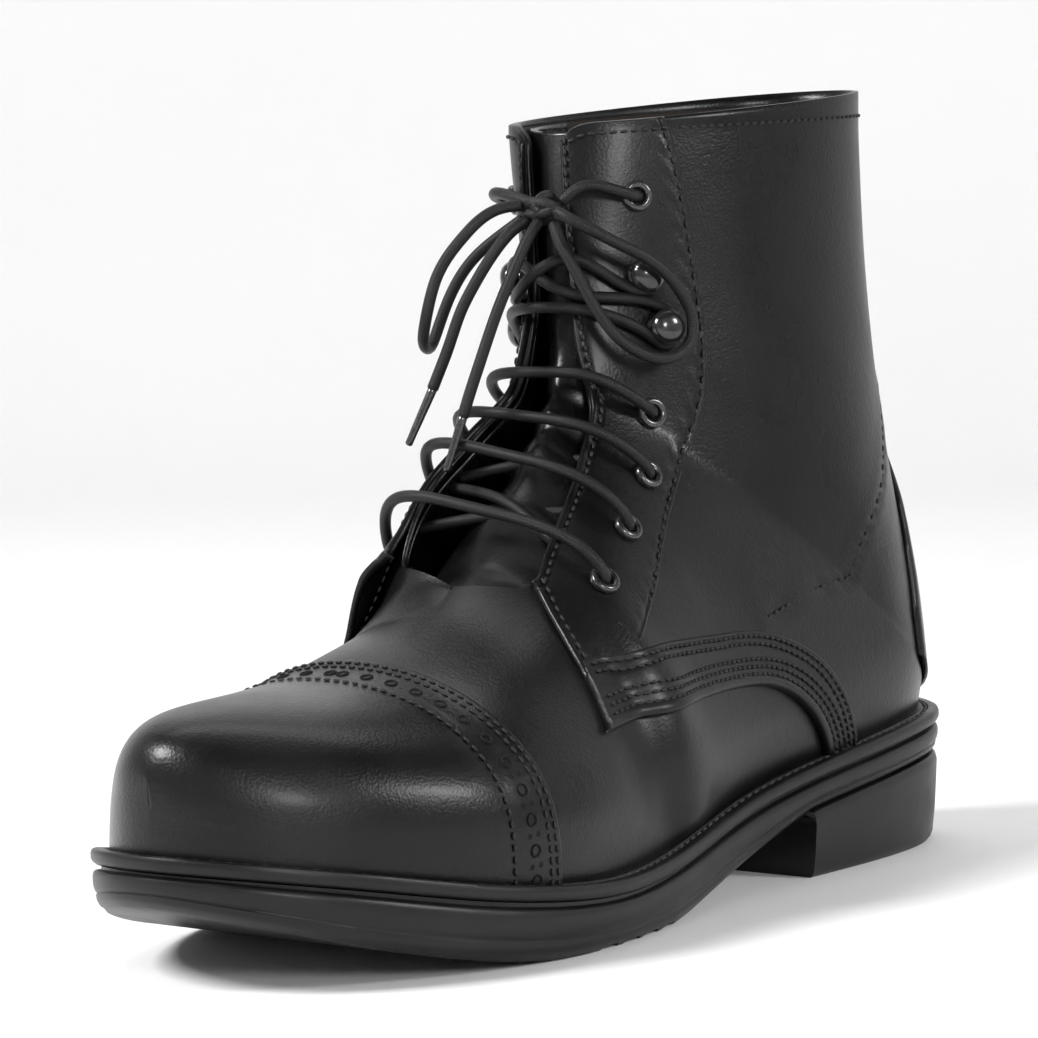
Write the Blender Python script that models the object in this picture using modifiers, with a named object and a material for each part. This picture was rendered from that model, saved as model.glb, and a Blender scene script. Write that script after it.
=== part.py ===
"""Lace-up paddock boot for the right foot, standing empty on its sole.

The toe points along +X, the inner side of the foot faces +Y and the floor is z = 0.
The origin is on the floor under the middle of the sole. The upper, and every piece
laid on it, is read from one family of sections that fans from the toe to the collar.
"""

import math

import bmesh
import bpy
import numpy as np
from mathutils import Matrix, Vector

MM = 0.001

# Driving sizes of the sole, in metres
SOLE_LENGTH = 0.290
BALL_WIDTH = 0.104
WAIST_WIDTH = 0.071
HEEL_SEAT_WIDTH = 0.071
SEAT_HEIGHT = 0.0345
SOLE_THICKNESS = 0.0150
TOE_SPRING = 0.0150
WELT_THICKNESS = 0.0035
WELT_REACH = 0.0055
HEEL_LENGTH = 0.0885
HEEL_HEIGHT = 0.0165
BREAST_HOLLOW = 0.006
INSOLE_THICKNESS = 0.003

# Driving sizes of the upper
TOE_RISE = 0.0335
THROAT_RISE = 0.0580
SHAFT_HEIGHT = 0.1550
COLLAR_DROP = 0.0065
COLLAR_WIDTH = 0.056
ANKLE_WIDTH = 0.055
HEEL_GIRTH_WIDTH = 0.060
UPPER_WALL = 0.0020
OVERLAY_WALL = 0.0012
TONGUE_WALL = 0.0018
TONGUE_WIDTH = 0.052
FACING_GAP = 0.0110
BACKSTAY_WIDTH = 0.010
SPUR_REST_WIDTH = 0.016
SPUR_REST_HEIGHT = 0.0045
SPUR_REST_DEPTH = 0.0030
# How far the shaft's front and back stand over the outer side at the collar
FRONT_SWAY = 0.013
BACK_SWAY = 0.003
# How far the outer facing's front edge springs away from the tongue
OUTER_FLARE = 0.011

# Lacing hardware
EYELET_WIDTH = 0.0074
EYELET_HOLE = 0.0036
EYELET_HEIGHT = 0.0013
HOOK_WIDTH = 0.0088
HOOK_HEIGHT = 0.0060
LACE_WIDTH = 0.0028
LACE_ARCH = 0.0030
KNOT_LENGTH = 0.0125
KNOT_WIDTH = 0.0085
KNOT_HEIGHT = 0.0076
AGLET_WIDTH = 0.0022

# Clearances between neighbours
GAP = 0.0003
INSOLE_GAP = 0.0012
TONGUE_GAP = 0.0018
LACE_GAP = 0.0004
# How far the upper reaches below its seat before it is trimmed to the welt
TRIM = 0.0012

ORIGIN_X = 0.5 * SOLE_LENGTH

# Edge of the sole: distance from the heel's back along the sole, and half widths
OUTLINE_COLUMNS = ("along", "inner", "outer")
OUTLINE = (
    (0.000, 0.000, 0.000),
    (0.012, 0.180 * HEEL_SEAT_WIDTH, 0.180 * HEEL_SEAT_WIDTH),
    (0.050, 0.350 * HEEL_SEAT_WIDTH, 0.360 * HEEL_SEAT_WIDTH),
    (0.150, 0.478 * HEEL_SEAT_WIDTH, 0.492 * HEEL_SEAT_WIDTH),
    (0.280, 0.510 * HEEL_SEAT_WIDTH, 0.500 * HEEL_SEAT_WIDTH),
    (0.420, 0.540 * WAIST_WIDTH, 0.540 * WAIST_WIDTH),
    (0.550, 0.448 * BALL_WIDTH, 0.465 * BALL_WIDTH),
    (0.655, 0.497 * BALL_WIDTH, 0.500 * BALL_WIDTH),
    (0.710, 0.500 * BALL_WIDTH, 0.492 * BALL_WIDTH),
    (0.770, 0.483 * BALL_WIDTH, 0.470 * BALL_WIDTH),
    (0.860, 0.411 * BALL_WIDTH, 0.394 * BALL_WIDTH),
    (0.940, 0.291 * BALL_WIDTH, 0.282 * BALL_WIDTH),
    (0.985, 0.150 * BALL_WIDTH, 0.146 * BALL_WIDTH),
    (1.000, 0.000, 0.000),
)

# Height of the welt's top along the sole
SEAT_FALL = SEAT_HEIGHT - SOLE_THICKNESS
SEAT_COLUMNS = ("along", "height")
SEAT = (
    (0.000, SEAT_HEIGHT),
    (0.090, SOLE_THICKNESS + 0.950 * SEAT_FALL),
    (0.190, SOLE_THICKNESS + 0.832 * SEAT_FALL),
    (0.290, SOLE_THICKNESS + 0.673 * SEAT_FALL),
    (0.390, SOLE_THICKNESS + 0.452 * SEAT_FALL),
    (0.470, SOLE_THICKNESS + 0.240 * SEAT_FALL),
    (0.550, SOLE_THICKNESS + 0.080 * SEAT_FALL),
    (0.640, SOLE_THICKNESS),
    (0.720, SOLE_THICKNESS + 0.100 * TOE_SPRING),
    (0.800, SOLE_THICKNESS + 0.310 * TOE_SPRING),
    (0.870, SOLE_THICKNESS + 0.560 * TOE_SPRING),
    (0.940, SOLE_THICKNESS + 0.810 * TOE_SPRING),
    (1.000, SOLE_THICKNESS + TOE_SPRING),
)

# Underside: flat between these places, an arch behind them and a toe spring before
ARCH_FROM = 0.565 * SOLE_LENGTH
TOE_LIFT_FROM = 0.690 * SOLE_LENGTH
ARCH_CURVE = 1.4
TOE_LIFT_CURVE = 1.8
TREAD_TIP = 1.30 * TOE_SPRING

# Side of the outsole: share of its thickness from the top, and how far it stands in
SIDE_COLUMNS = ("drop", "inset")
OUTSOLE_SIDE = (
    (0.00, 0.22 * WELT_THICKNESS),
    (0.05, 0.08 * WELT_THICKNESS),
    (0.20, 0.08 * WELT_THICKNESS),
    (0.24, 0.40 * WELT_THICKNESS),
    (0.32, 0.40 * WELT_THICKNESS),
    (0.36, 0.12 * WELT_THICKNESS),
    (0.80, 0.20 * WELT_THICKNESS),
    (1.00, 0.62 * WELT_THICKNESS),
)
HEEL_SIDE = (
    (0.00, 0.30 * WELT_THICKNESS),
    (0.08, 0.12 * WELT_THICKNESS),
    (0.90, 0.55 * WELT_THICKNESS),
    (1.00, 0.90 * WELT_THICKNESS),
)
LUG_COUNT = 4
LUG_PITCH = 0.0095
LUG_DEPTH = 0.0022

# Sections of the upper. The ridge is where a section meets the middle of the toe,
# the instep and the shaft's front. Its foot is a place along the sole's edge, as a turn
# from 0 at the heel's back to 1 at the toe, up to the heel, and a place up the back after it.
# crest is how far down the widest place lies. The last two shape the two quarters.
SECTION_COLUMNS = (
    "step", "ridge_x", "ridge_z", "foot", "back_x", "back_z", "half", "crest", "above", "below",
)
HEEL_STEP = 0.66
# Half of a step or share over which a direction of the form is read
SMALL = 0.01


def spline(xs, ys):
    """Natural cubic curve through the given points, as a function."""
    xs = np.asarray(xs, float)
    ys = np.asarray(ys, float)
    gaps = np.diff(xs)
    count = len(xs)
    matrix = np.zeros((count, count))
    right = np.zeros(count)
    matrix[0, 0] = 1.0
    matrix[-1, -1] = 1.0
    for i in range(1, count - 1):
        matrix[i, i - 1] = gaps[i - 1]
        matrix[i, i] = 2 * (gaps[i - 1] + gaps[i])
        matrix[i, i + 1] = gaps[i]
        right[i] = 6 * ((ys[i + 1] - ys[i]) / gaps[i] - (ys[i] - ys[i - 1]) / gaps[i - 1])
    bends = np.linalg.solve(matrix, right)

    def value(x):
        x = np.clip(np.asarray(x, float), xs[0], xs[-1])
        i = np.clip(np.searchsorted(xs, x) - 1, 0, count - 2)
        gap = gaps[i]
        before = xs[i + 1] - x
        after = x - xs[i]
        cubic = (bends[i] * before**3 + bends[i + 1] * after**3) / (6 * gap)
        low = (ys[i] / gap - bends[i] * gap / 6) * before
        high = (ys[i + 1] / gap - bends[i + 1] * gap / 6) * after
        return cubic + low + high

    return value


def turn(along):
    """Share of the sole's length as a turn from 0 to 1, which bunches at heel and toe."""
    return np.arccos(np.clip(1 - 2 * np.asarray(along, float), -1, 1)) / math.pi


def column(table, index):
    return [row[index] for row in table]


INNER_HALF = spline(turn(column(OUTLINE, 0)), column(OUTLINE, 1))
OUTER_HALF = spline(turn(column(OUTLINE, 0)), column(OUTLINE, 2))
SEAT_CURVE = spline(column(SEAT, 0), column(SEAT, 1))


def seat_height(x):
    return SEAT_CURVE(np.asarray(x) / SOLE_LENGTH)


HEEL_BAND = float(seat_height(HEEL_LENGTH)) - HEEL_HEIGHT


def tread_height(x):
    """Height of the outsole's underside at x."""
    x = np.asarray(x, float)
    arch = HEEL_HEIGHT * (np.clip(ARCH_FROM - x, 0, None) / (ARCH_FROM - HEEL_LENGTH)) ** ARCH_CURVE
    lift = np.clip(x - TOE_LIFT_FROM, 0, None) / (SOLE_LENGTH - TOE_LIFT_FROM)
    fore = arch + TREAD_TIP * lift**TOE_LIFT_CURVE
    return np.where(x < HEEL_LENGTH, seat_height(x) - HEEL_BAND, fore)


def outline(tau, side, inset=0.0):
    """Point of the sole's edge moved inwards. side is 1 on the inner half, -1 on the outer."""
    half = INNER_HALF if side > 0 else OUTER_HALF
    tau = np.asarray(tau, float)
    small = 1e-4

    def at(t):
        sign = np.where((t < 0) | (t > 1), -1.0, 1.0)
        t = np.where(t < 0, -t, np.where(t > 1, 2 - t, t))
        return 0.5 * SOLE_LENGTH * (1 - np.cos(math.pi * t)), sign * half(t)

    x, y = at(tau)
    x0, y0 = at(tau - small)
    x1, y1 = at(tau + small)
    length = np.hypot(x1 - x0, y1 - y0)
    out_x = -(y1 - y0) / length
    out_y = (x1 - x0) / length
    return x - out_x * inset, (y - out_y * inset) * side


def seat_at(share):
    return float(SEAT_CURVE(share))


def up(share):
    return SEAT_HEIGHT + share * SHAFT_HEIGHT


TOE_X = SOLE_LENGTH - WELT_REACH
BALL = 0.5 * BALL_WIDTH
GIRTH = 0.5 * HEEL_GIRTH_WIDTH
ANKLE = 0.5 * ANKLE_WIDTH
COLLAR = 0.5 * COLLAR_WIDTH
L = SOLE_LENGTH
SECTIONS = (
    (0.00, TOE_X, seat_at(1.00) + 0.42 * TOE_RISE, 1.000, 0, 0, 0, 0.55, 2.20, 2.0),
    (0.05, 0.970 * L, seat_at(0.97) + 0.70 * TOE_RISE, 0.935, 0, 0, 0, 0.62, 2.30, 2.0),
    (0.10, 0.931 * L, seat_at(0.93) + 0.88 * TOE_RISE, 0.865, 0, 0, 0, 0.68, 2.35, 2.0),
    (0.16, 0.857 * L, seat_at(0.86) + 1.03 * TOE_RISE, 0.765, 0, 0, 0, 0.72, 2.30, 2.0),
    (0.22, 0.766 * L, seat_at(0.77) + 0.71 * THROAT_RISE, 0.664, 0, 0, 0, 0.74, 2.15, 2.0),
    (0.26, 0.727 * L, seat_at(0.73) + 0.80 * THROAT_RISE, 0.633, 0, 0, 0, 0.75, 2.08, 2.0),
    (0.31, 0.674 * L, seat_at(0.67) + 0.91 * THROAT_RISE, 0.592, 0, 0, 0, 0.76, 2.00, 2.0),
    (0.36, 0.633 * L, seat_at(0.63) + 1.00 * THROAT_RISE, 0.558, 0, 0, 0, 0.77, 1.95, 2.0),
    (0.42, 0.583 * L, up(0.314), 0.510, 0, 0, 0.80 * BALL, 0.78, 1.90, 2.0),
    (0.48, 0.537 * L, up(0.400), 0.450, 0, 0, 0.69 * BALL, 0.78, 1.90, 2.0),
    (0.53, 0.505 * L, up(0.455), 0.370, 0, 0, 0.98 * GIRTH, 0.78, 1.90, 2.0),
    (0.58, 0.483 * L, up(0.505), 0.270, 0, 0, 0.98 * GIRTH, 0.77, 1.90, 2.0),
    (0.62, 0.470 * L, up(0.540), 0.150, 0, 0, 0.98 * GIRTH, 0.74, 1.90, 2.0),
    (0.66, 0.460 * L, up(0.572), 0.000, WELT_REACH, SEAT_HEIGHT - TRIM, 0.97 * GIRTH, 0.70, 1.90, 2.05),
    (0.72, 0.451 * L, up(0.630), 0.000, 0.018 * L, up(0.150), 0.96 * GIRTH, 0.62, 1.95, 2.1),
    (0.79, 0.444 * L, up(0.710), 0.000, 0.034 * L, up(0.340), 0.98 * ANKLE, 0.56, 2.00, 2.1),
    (0.86, 0.439 * L, up(0.795), 0.000, 0.054 * L, up(0.560), 0.97 * ANKLE, 0.53, 2.00, 2.1),
    (0.93, 0.434 * L, up(0.880), 0.000, 0.067 * L, up(0.785), 0.98 * COLLAR, 0.51, 2.05, 2.15),
    (1.00, 0.428 * L, up(1.0) - COLLAR_DROP, 0.000, 0.070 * L, up(1.018), COLLAR, 0.50, 2.1, 2.2),
)
STEPS = column(SECTIONS, 0)
AT_HEEL = STEPS.index(HEEL_STEP)
RIDGE_X = spline(STEPS, column(SECTIONS, 1))
RIDGE_Z = spline(STEPS, column(SECTIONS, 2))
FOOT = spline(STEPS[: AT_HEEL + 1], column(SECTIONS, 3)[: AT_HEEL + 1])
BACK_X = spline(STEPS[AT_HEEL:], column(SECTIONS, 4)[AT_HEEL:])
BACK_Z = spline(STEPS[AT_HEEL:], column(SECTIONS, 5)[AT_HEEL:])
HALF = spline(STEPS, column(SECTIONS, 6))
CREST = spline(STEPS, column(SECTIONS, 7))
ABOVE = spline(STEPS, column(SECTIONS, 8))
BELOW = spline(STEPS, column(SECTIONS, 9))
# Share of a section that its upper quarter takes, and how far it swells past its foot
CREST_SHARE = 0.55
SWELL = 1.02
SWELL_BLEND = 8

# Half of the opening between the facings, from the throat to the collar
GAP_COLUMNS = ("step", "half")
OPENING = (
    (0.385, 0.00 * FACING_GAP),
    (0.400, 1.10 * FACING_GAP),
    (0.430, 1.50 * FACING_GAP),
    (0.470, 1.35 * FACING_GAP),
    (0.520, 1.13 * FACING_GAP),
    (0.560, 1.00 * FACING_GAP),
    (0.620, 0.88 * FACING_GAP),
    (0.700, 0.60 * FACING_GAP),
    (0.780, 0.50 * FACING_GAP),
    (1.000, 0.50 * FACING_GAP),
)
THROAT_STEP = OPENING[0][0]
OPENING_HALF = spline(column(OPENING, 0), column(OPENING, 1))


# Stand-off of the outer facing from the tongue along its front edge, as a share of its most
FLARE_COLUMNS = ("step", "share")
FLARE = (
    (0.340, 0.00),
    (0.395, 0.34),
    (0.440, 0.78),
    (0.490, 1.00),
    (0.550, 0.88),
    (0.620, 0.52),
    (0.700, 0.20),
    (0.780, 0.00),
)
FLARE_CURVE = spline(column(FLARE, 0), column(FLARE, 1))
# Share of the stand-off at which it leans most, and the extra space that a laid piece needs there
FLARE_LEAN = 0.25
LEAN_SPACE = 0.19
# Shares of a section between which the stand-off fades away
FLARE_FROM = 0.12
FLARE_TO = 0.56
MEET_STEP = 0.41
MEET_SHARE = 0.10


def sway(z, forward):
    """Sideways set of the shaft at height z. forward is 1 at its front and 0 at its back."""
    rise = np.clip((z - up(0.035)) / (up(0.74) - up(0.035)), 0, 1.3)
    return -rise * (BACK_SWAY + (FRONT_SWAY - BACK_SWAY) * forward)


def half_width(step, foot_y):
    """Half width of a section at its widest place."""
    own = np.clip(HALF(step), 0, None)
    return ((SWELL * foot_y) ** SWELL_BLEND + own**SWELL_BLEND) ** (1 / SWELL_BLEND) + 1e-9


def section(step, side, share):
    """Point of the upper's outside. share runs from 0 at the ridge to 1 at the foot or back."""
    step = np.asarray(step, float)
    share = np.asarray(share, float)
    foot_x, foot_y = outline(np.clip(FOOT(step), 0, 1), side, WELT_REACH)
    on_back = step >= HEEL_STEP
    foot_y = np.where(on_back, 0.0, np.abs(foot_y))
    foot_z = np.where(on_back, BACK_Z(step), seat_height(foot_x) - TRIM)
    foot_x = np.where(on_back, BACK_X(step), foot_x)
    half = half_width(step, foot_y)
    crest = CREST(step)
    above = ABOVE(step)
    below = BELOW(step)
    first = np.clip(share / CREST_SHARE, 0, 1) * math.pi / 2
    down_first = crest * (1 - np.cos(first) ** (2 / above))
    out_first = np.sin(first) ** (2 / above)
    tuck = np.clip(foot_y / half, 0, 1 / SWELL)
    deepest = (1 - tuck**below) ** (1 / below)
    last_angle = np.arcsin(np.clip(deepest ** (below / 2), 0, 1))
    second = np.clip((share - CREST_SHARE) / (1 - CREST_SHARE), 0, 1) * last_angle
    down_second = crest + (1 - crest) * np.sin(second) ** (2 / below) / np.maximum(deepest, 1e-9)
    out_second = np.cos(second) ** (2 / below)
    upper_part = share <= CREST_SHARE
    down = np.where(upper_part, down_first, down_second)
    out = np.where(upper_part, out_first, out_second)
    x = RIDGE_X(step) + (foot_x - RIDGE_X(step)) * down
    z = RIDGE_Z(step) + (foot_z - RIDGE_Z(step)) * down
    return np.stack([x, side * half * out + sway(z, 1 - down), z], -1)


def normal_at(step, side, share):
    """Outward normal. Where the two sides meet it is the same for both."""
    on_seam = share == 0.0 or (share == 1.0 and step >= HEEL_STEP)
    near_step = min(max(step, 0.004), 0.996)
    near_share = share if on_seam else min(max(share, 0.02), 0.98)
    before = near_step if share == 1.0 and near_step < HEEL_STEP + 0.004 else near_step - 0.004
    along = section(near_step + 0.004, side, near_share) - section(before, side, near_share)
    if on_seam:
        across = np.array([0.0, side, 0.0]) * (1 if share == 0.0 else -1)
    else:
        across = section(near_step, side, near_share + 0.02) - section(near_step, side, near_share - 0.02)
    normal = np.cross(across, along) * side
    return normal / np.linalg.norm(normal)


def flare(step, side, share):
    """How far the upper's outside stands off the foot here. Only the outer facing does."""
    if side > 0 or step <= FLARE[0][0] or step >= FLARE[-1][0]:
        return 0.0
    fade = min(max((FLARE_TO - share) / (FLARE_TO - FLARE_FROM), 0.0), 1.0)
    closed = min(max((MEET_STEP - step) / (MEET_STEP - THROAT_STEP), 0.0), 1.0)
    apart = 1 - closed * (1 - min(share / MEET_SHARE, 1.0))
    return OUTER_FLARE * max(float(FLARE_CURVE(step)), 0.0) * fade**2 * apart


def skin(step, side, share, lift=0.0):
    """Point of the upper's outside lifted along its normal, a little more where it leans off the foot."""
    stand = flare(step, side, share)
    lean = min(stand / (FLARE_LEAN * OUTER_FLARE), 1.0)
    return lifted(step, side, share, stand + lift * (1 + LEAN_SPACE * lean))


def lifted(step, side, share, lift):
    """Point of the foot's form lifted along its normal."""
    step = float(step)
    share = float(share)
    point = section(step, side, share)
    if lift == 0.0:
        return point
    normal = normal_at(step, side, share)
    if step == 0.0:
        normal = (normal + normal_at(step, -side, share)) * (0.5, 0.0, 0.5)
    return point + lift * normal / np.linalg.norm(normal)


def share_at(step, side, width):
    """Share of a section, from its ridge, at which it is this far out."""
    foot_y = abs(float(outline(np.clip(FOOT(step), 0, 1), side, WELT_REACH)[1]))
    half = float(half_width(step, 0.0 if step >= HEEL_STEP else foot_y))
    reach = min(max(width / half, 0.0), 1.0) ** (float(ABOVE(step)) / 2)
    return CREST_SHARE * 2 / math.pi * math.asin(reach)


def opening_share(step, side):
    """Where a section starts beside the lacing."""
    if step <= THROAT_STEP:
        return 0.0
    return share_at(step, side, float(OPENING_HALF(step)))


def on_side(x, z, side):
    """Step and share of the place that a look straight from the side shows at x and z."""
    steps = np.linspace(0.02, 0.99, 98)
    shares = np.linspace(0.04, 0.98, 48)
    grid = section(steps[:, None], side, shares[None, :])
    away = (grid[..., 0] - x) ** 2 + (grid[..., 2] - z) ** 2
    i, j = np.unravel_index(np.argmin(away), away.shape)
    place = np.array([steps[i], shares[j]])
    small = 1e-4
    for _ in range(12):
        here = section(place[0], side, place[1])[[0, 2]]
        by_step = (section(place[0] + small, side, place[1])[[0, 2]] - here) / small
        by_share = (section(place[0], side, place[1] + small)[[0, 2]] - here) / small
        miss = np.array([x, z]) - here
        move = np.linalg.solve(np.stack([by_step, by_share], 1), miss)
        place = place + np.clip(move, -0.03, 0.03)
        place = np.clip(place, 0.001, 0.999)
    return float(place[0]), float(place[1])


# Rows and columns of the upper's mesh, which the pieces laid on it share
ROWS = (
    0.0, 0.02, 0.05, 0.08, 0.12, 0.16, 0.20, 0.225, 0.25, 0.285, 0.32, 0.355, 0.385, 0.40, 0.42, 0.45,
    0.48, 0.51, 0.54, 0.57, 0.60, 0.62, 0.64, 0.66, 0.69, 0.72, 0.76, 0.80, 0.84, 0.88, 0.92, 0.96, 1.0,
)
COLUMNS = (0.0, 0.08, 0.17, 0.27, 0.37, 0.47, 0.57, 0.67, 0.77, 0.86, 0.93, 0.97, 1.0)
CAP_STEP = 0.25

# Outlines that a look from the side shows, as shares of the length and of the shaft
SIDE_VIEW_COLUMNS = ("along", "up")
FACING_FRONT = ((0.586, 0.270), (0.604, 0.175))
STRAP_TOP = (
    (0.603, 0.168), (0.524, 0.181), (0.428, 0.180), (0.362, 0.174),
    (0.314, 0.150), (0.270, 0.106), (0.239, 0.042), (0.216, -0.034),
)
STRAP_LOWER = (
    (0.600, 0.084), (0.517, 0.090), (0.414, 0.097), (0.352, 0.084),
    (0.303, 0.036), (0.269, -0.042), (0.262, -0.072),
)
PANEL_SEAM = (
    (0.552, 0.179), (0.483, 0.262), (0.420, 0.368), (0.363, 0.484),
    (0.347, 0.613), (0.350, 0.742), (0.360, 0.900), (0.372, 1.100),
)
LACING_COLUMNS = ("name", "along", "up", "kind")
LACING = (
    ("eyelet_top", 0.395, 0.845, "eyelet"),
    ("hook_upper", 0.396, 0.722, "hook"),
    ("hook_lower", 0.387, 0.640, "hook"),
    ("eyelet_a", 0.403, 0.511, "eyelet"),
    ("eyelet_b", 0.433, 0.416, "eyelet"),
    ("eyelet_c", 0.484, 0.342, "eyelet"),
    ("eyelet_d", 0.543, 0.271, "eyelet"),
)
SIDES = (("inner", 1), ("outer", -1))

# Free lengths of the lace, as chosen places in millimetres in the part's own frame
ROUTE_COLUMNS = ("x", "y", "z")
KNOT_PLACE = (-12.0, -10.5, 163.0)
LOOP_OUTER = (
    (-8.1, -14.3, 163.8), (-4.6, -17.0, 163.2), (0.0, -19.5, 160.8), (4.0, -22.0, 156.5), (6.8, -24.0, 152.5),
    (9.0, -26.0, 147.5), (10.3, -27.3, 142.0), (10.3, -29.0, 136.0), (8.0, -31.3, 131.6),
    (3.5, -33.2, 130.3), (-0.2, -33.8, 134.0), (-2.3, -32.6, 140.0), (-4.0, -30.2, 146.0),
    (-6.2, -26.6, 151.6), (-8.8, -21.4, 156.4), (-11.3, -15.9, 160.6),
)
LOOP_INNER = (
    (-9.2, -4.1, 162.2), (-9.2, -1.0, 160.8), (-10.8, 2.4, 158.8), (-13.4, 5.6, 156.6), (-16.4, 8.4, 154.4),
    (-20.0, 11.2, 152.2), (-23.8, 13.5, 149.6), (-27.8, 15.2, 146.0), (-32.0, 16.0, 141.4),
    (-34.8, 16.4, 136.6), (-34.6, 16.4, 131.8), (-30.6, 16.0, 128.4), (-24.6, 14.6, 127.0),
    (-19.2, 12.2, 128.6), (-15.8, 8.8, 132.0), (-13.8, 5.2, 137.0), (-12.4, 1.8, 143.2),
    (-11.4, -1.6, 149.6), (-11.0, -4.4, 154.4), (-11.6, -6.9, 159.4),
)
END_OUTER = (
    (-8.7, -12.7, 160.2), (-6.2, -14.2, 158.4), (-3.0, -16.0, 155.0), (0.4, -18.0, 150.0), (3.0, -20.0, 144.8),
    (5.0, -22.0, 139.5), (6.5, -23.5, 134.0), (7.5, -25.0, 129.0), (8.5, -26.4, 124.8), (9.5, -27.6, 121.0),
)
END_INNER = (
    (-8.9, -9.3, 159.8), (-6.8, -9.7, 157.6), (-4.0, -10.4, 153.4), (-1.0, -11.5, 147.4), (2.0, -13.0, 140.4),
    (4.6, -14.6, 132.8), (6.8, -16.0, 125.8), (8.5, -17.4, 119.6), (9.8, -18.4, 114.6),
)
AGLET_OUTER = ((9.6, -27.7, 120.6), (13.5, -32.0, 108.0))
AGLET_INNER = ((9.9, -18.5, 114.2), (13.0, -21.0, 102.0))
SPUR_REST_RISE = 0.268


def material(name, colour, roughness, metallic=0.0):
    made = bpy.data.materials.new(name)
    made.use_nodes = True
    shader = made.node_tree.nodes["Principled BSDF"]
    shader.inputs["Base Color"].default_value = (*colour, 1.0)
    shader.inputs["Roughness"].default_value = roughness
    shader.inputs["Metallic"].default_value = metallic
    return made


def clear_scene():
    for obj in list(bpy.data.objects):
        bpy.data.objects.remove(obj, do_unlink=True)


def collection(name):
    made = bpy.data.collections.new(name)
    bpy.context.scene.collection.children.link(made)
    return made


clear_scene()
BOOT = collection("paddock_boot")
CUTTERS = collection("cutters")
CUTTERS.hide_render = True
LEATHER = material("black_leather", (0.012, 0.012, 0.013), 0.32)
TONGUE_LEATHER = material("tongue_leather", (0.010, 0.010, 0.011), 0.22)
INSOLE_LEATHER = material("insole_leather", (0.055, 0.040, 0.030), 0.60)
RUBBER = material("black_rubber", (0.016, 0.016, 0.017), 0.55)
ENAMEL = material("black_enamel", (0.010, 0.010, 0.010), 0.18, 0.6)
LACE = material("waxed_lace", (0.012, 0.012, 0.012), 0.50)


def to_frame(point):
    """From distances off the heel's back to the part's own frame."""
    return Vector((float(point[0]) - ORIGIN_X, float(point[1]), float(point[2])))


def add_object(name, mesh, finish, group=None):
    obj = bpy.data.objects.new(name, mesh)
    mesh.materials.append(finish)
    (group or BOOT).objects.link(obj)
    return obj


def mesh_from(name, points, faces):
    """Mesh of these points and faces, with its doubles merged."""
    mesh = bpy.data.meshes.new(name)
    mesh.from_pydata([to_frame(point) for point in points], [], faces)
    work = bmesh.new()
    work.from_mesh(mesh)
    bmesh.ops.remove_doubles(work, verts=work.verts, dist=0.01 * MM)
    bmesh.ops.dissolve_degenerate(work, edges=work.edges, dist=0.005 * MM)
    work.to_mesh(mesh)
    work.free()
    mesh.shade_smooth()
    mesh.set_sharp_from_angle(angle=math.radians(40))
    return mesh


def sheet(name, strips):
    """Open sheet of grids. A strip is its side and its rows of points, toe first, ridge first."""
    points = []
    faces = []
    for side, rows in strips:
        start = len(points)
        width = len(rows[0])
        for row in rows:
            points.extend(row)
        for i in range(len(rows) - 1):
            for j in range(width - 1):
                a = start + i * width + j
                for face in ((a, a + 1, a + width + 1), (a, a + width + 1, a + width)):
                    faces.append(face if side > 0 else face[::-1])
    return mesh_from(name, points, faces)


def laid_strip(side, rows, columns, lift):
    """Grid of the upper's own rows and columns, lifted."""
    grid = []
    for step in rows:
        first = opening_share(step, side)
        grid.append([skin(step, side, first + (1 - first) * share, lift) for share in columns])
    return side, grid


def solidify(obj, thickness):
    wall = obj.modifiers.new("wall", "SOLIDIFY")
    wall.thickness = thickness
    wall.offset = -1.0
    wall.use_rim = True
    return wall


def boolean(obj, cutter, operation):
    cut = obj.modifiers.new(cutter.name, "BOOLEAN")
    cut.operation = operation
    cut.object = cutter
    cut.solver = "EXACT"
    return cut


def as_cutter(obj):
    obj.hide_render = True
    obj.display_type = "WIRE"
    return obj


def prism(name, outline_points, axis, low, high):
    """Cutter with this outline seen along axis, from low to high on that axis."""
    count = len(outline_points)
    points = []
    for level in (low, high):
        for first, second in outline_points:
            points.append((first, level, second) if axis == "Y" else (level, first, second))
    faces = [tuple(range(count)), tuple(range(2 * count - 1, count - 1, -1))]
    for i in range(count):
        j = (i + 1) % count
        faces.append((i, i + count, j + count, j))
    mesh = mesh_from(name, points, faces)
    work = bmesh.new()
    work.from_mesh(mesh)
    bmesh.ops.recalc_face_normals(work, faces=work.faces)
    work.to_mesh(mesh)
    work.free()
    return as_cutter(add_object(name, mesh, RUBBER, CUTTERS))


def side_view(table):
    return [(along * SOLE_LENGTH, up(rise)) for along, rise in table]


def smooth_line(points, count):
    """Smooth line through these side view points, as count places spaced by length."""
    points = np.asarray(points, float)
    length = np.concatenate([[0], np.cumsum(np.linalg.norm(np.diff(points, axis=0), axis=1))])
    along = np.linspace(0, length[-1], count)
    return list(zip(spline(length, points[:, 0])(along), spline(length, points[:, 1])(along)))


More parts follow.
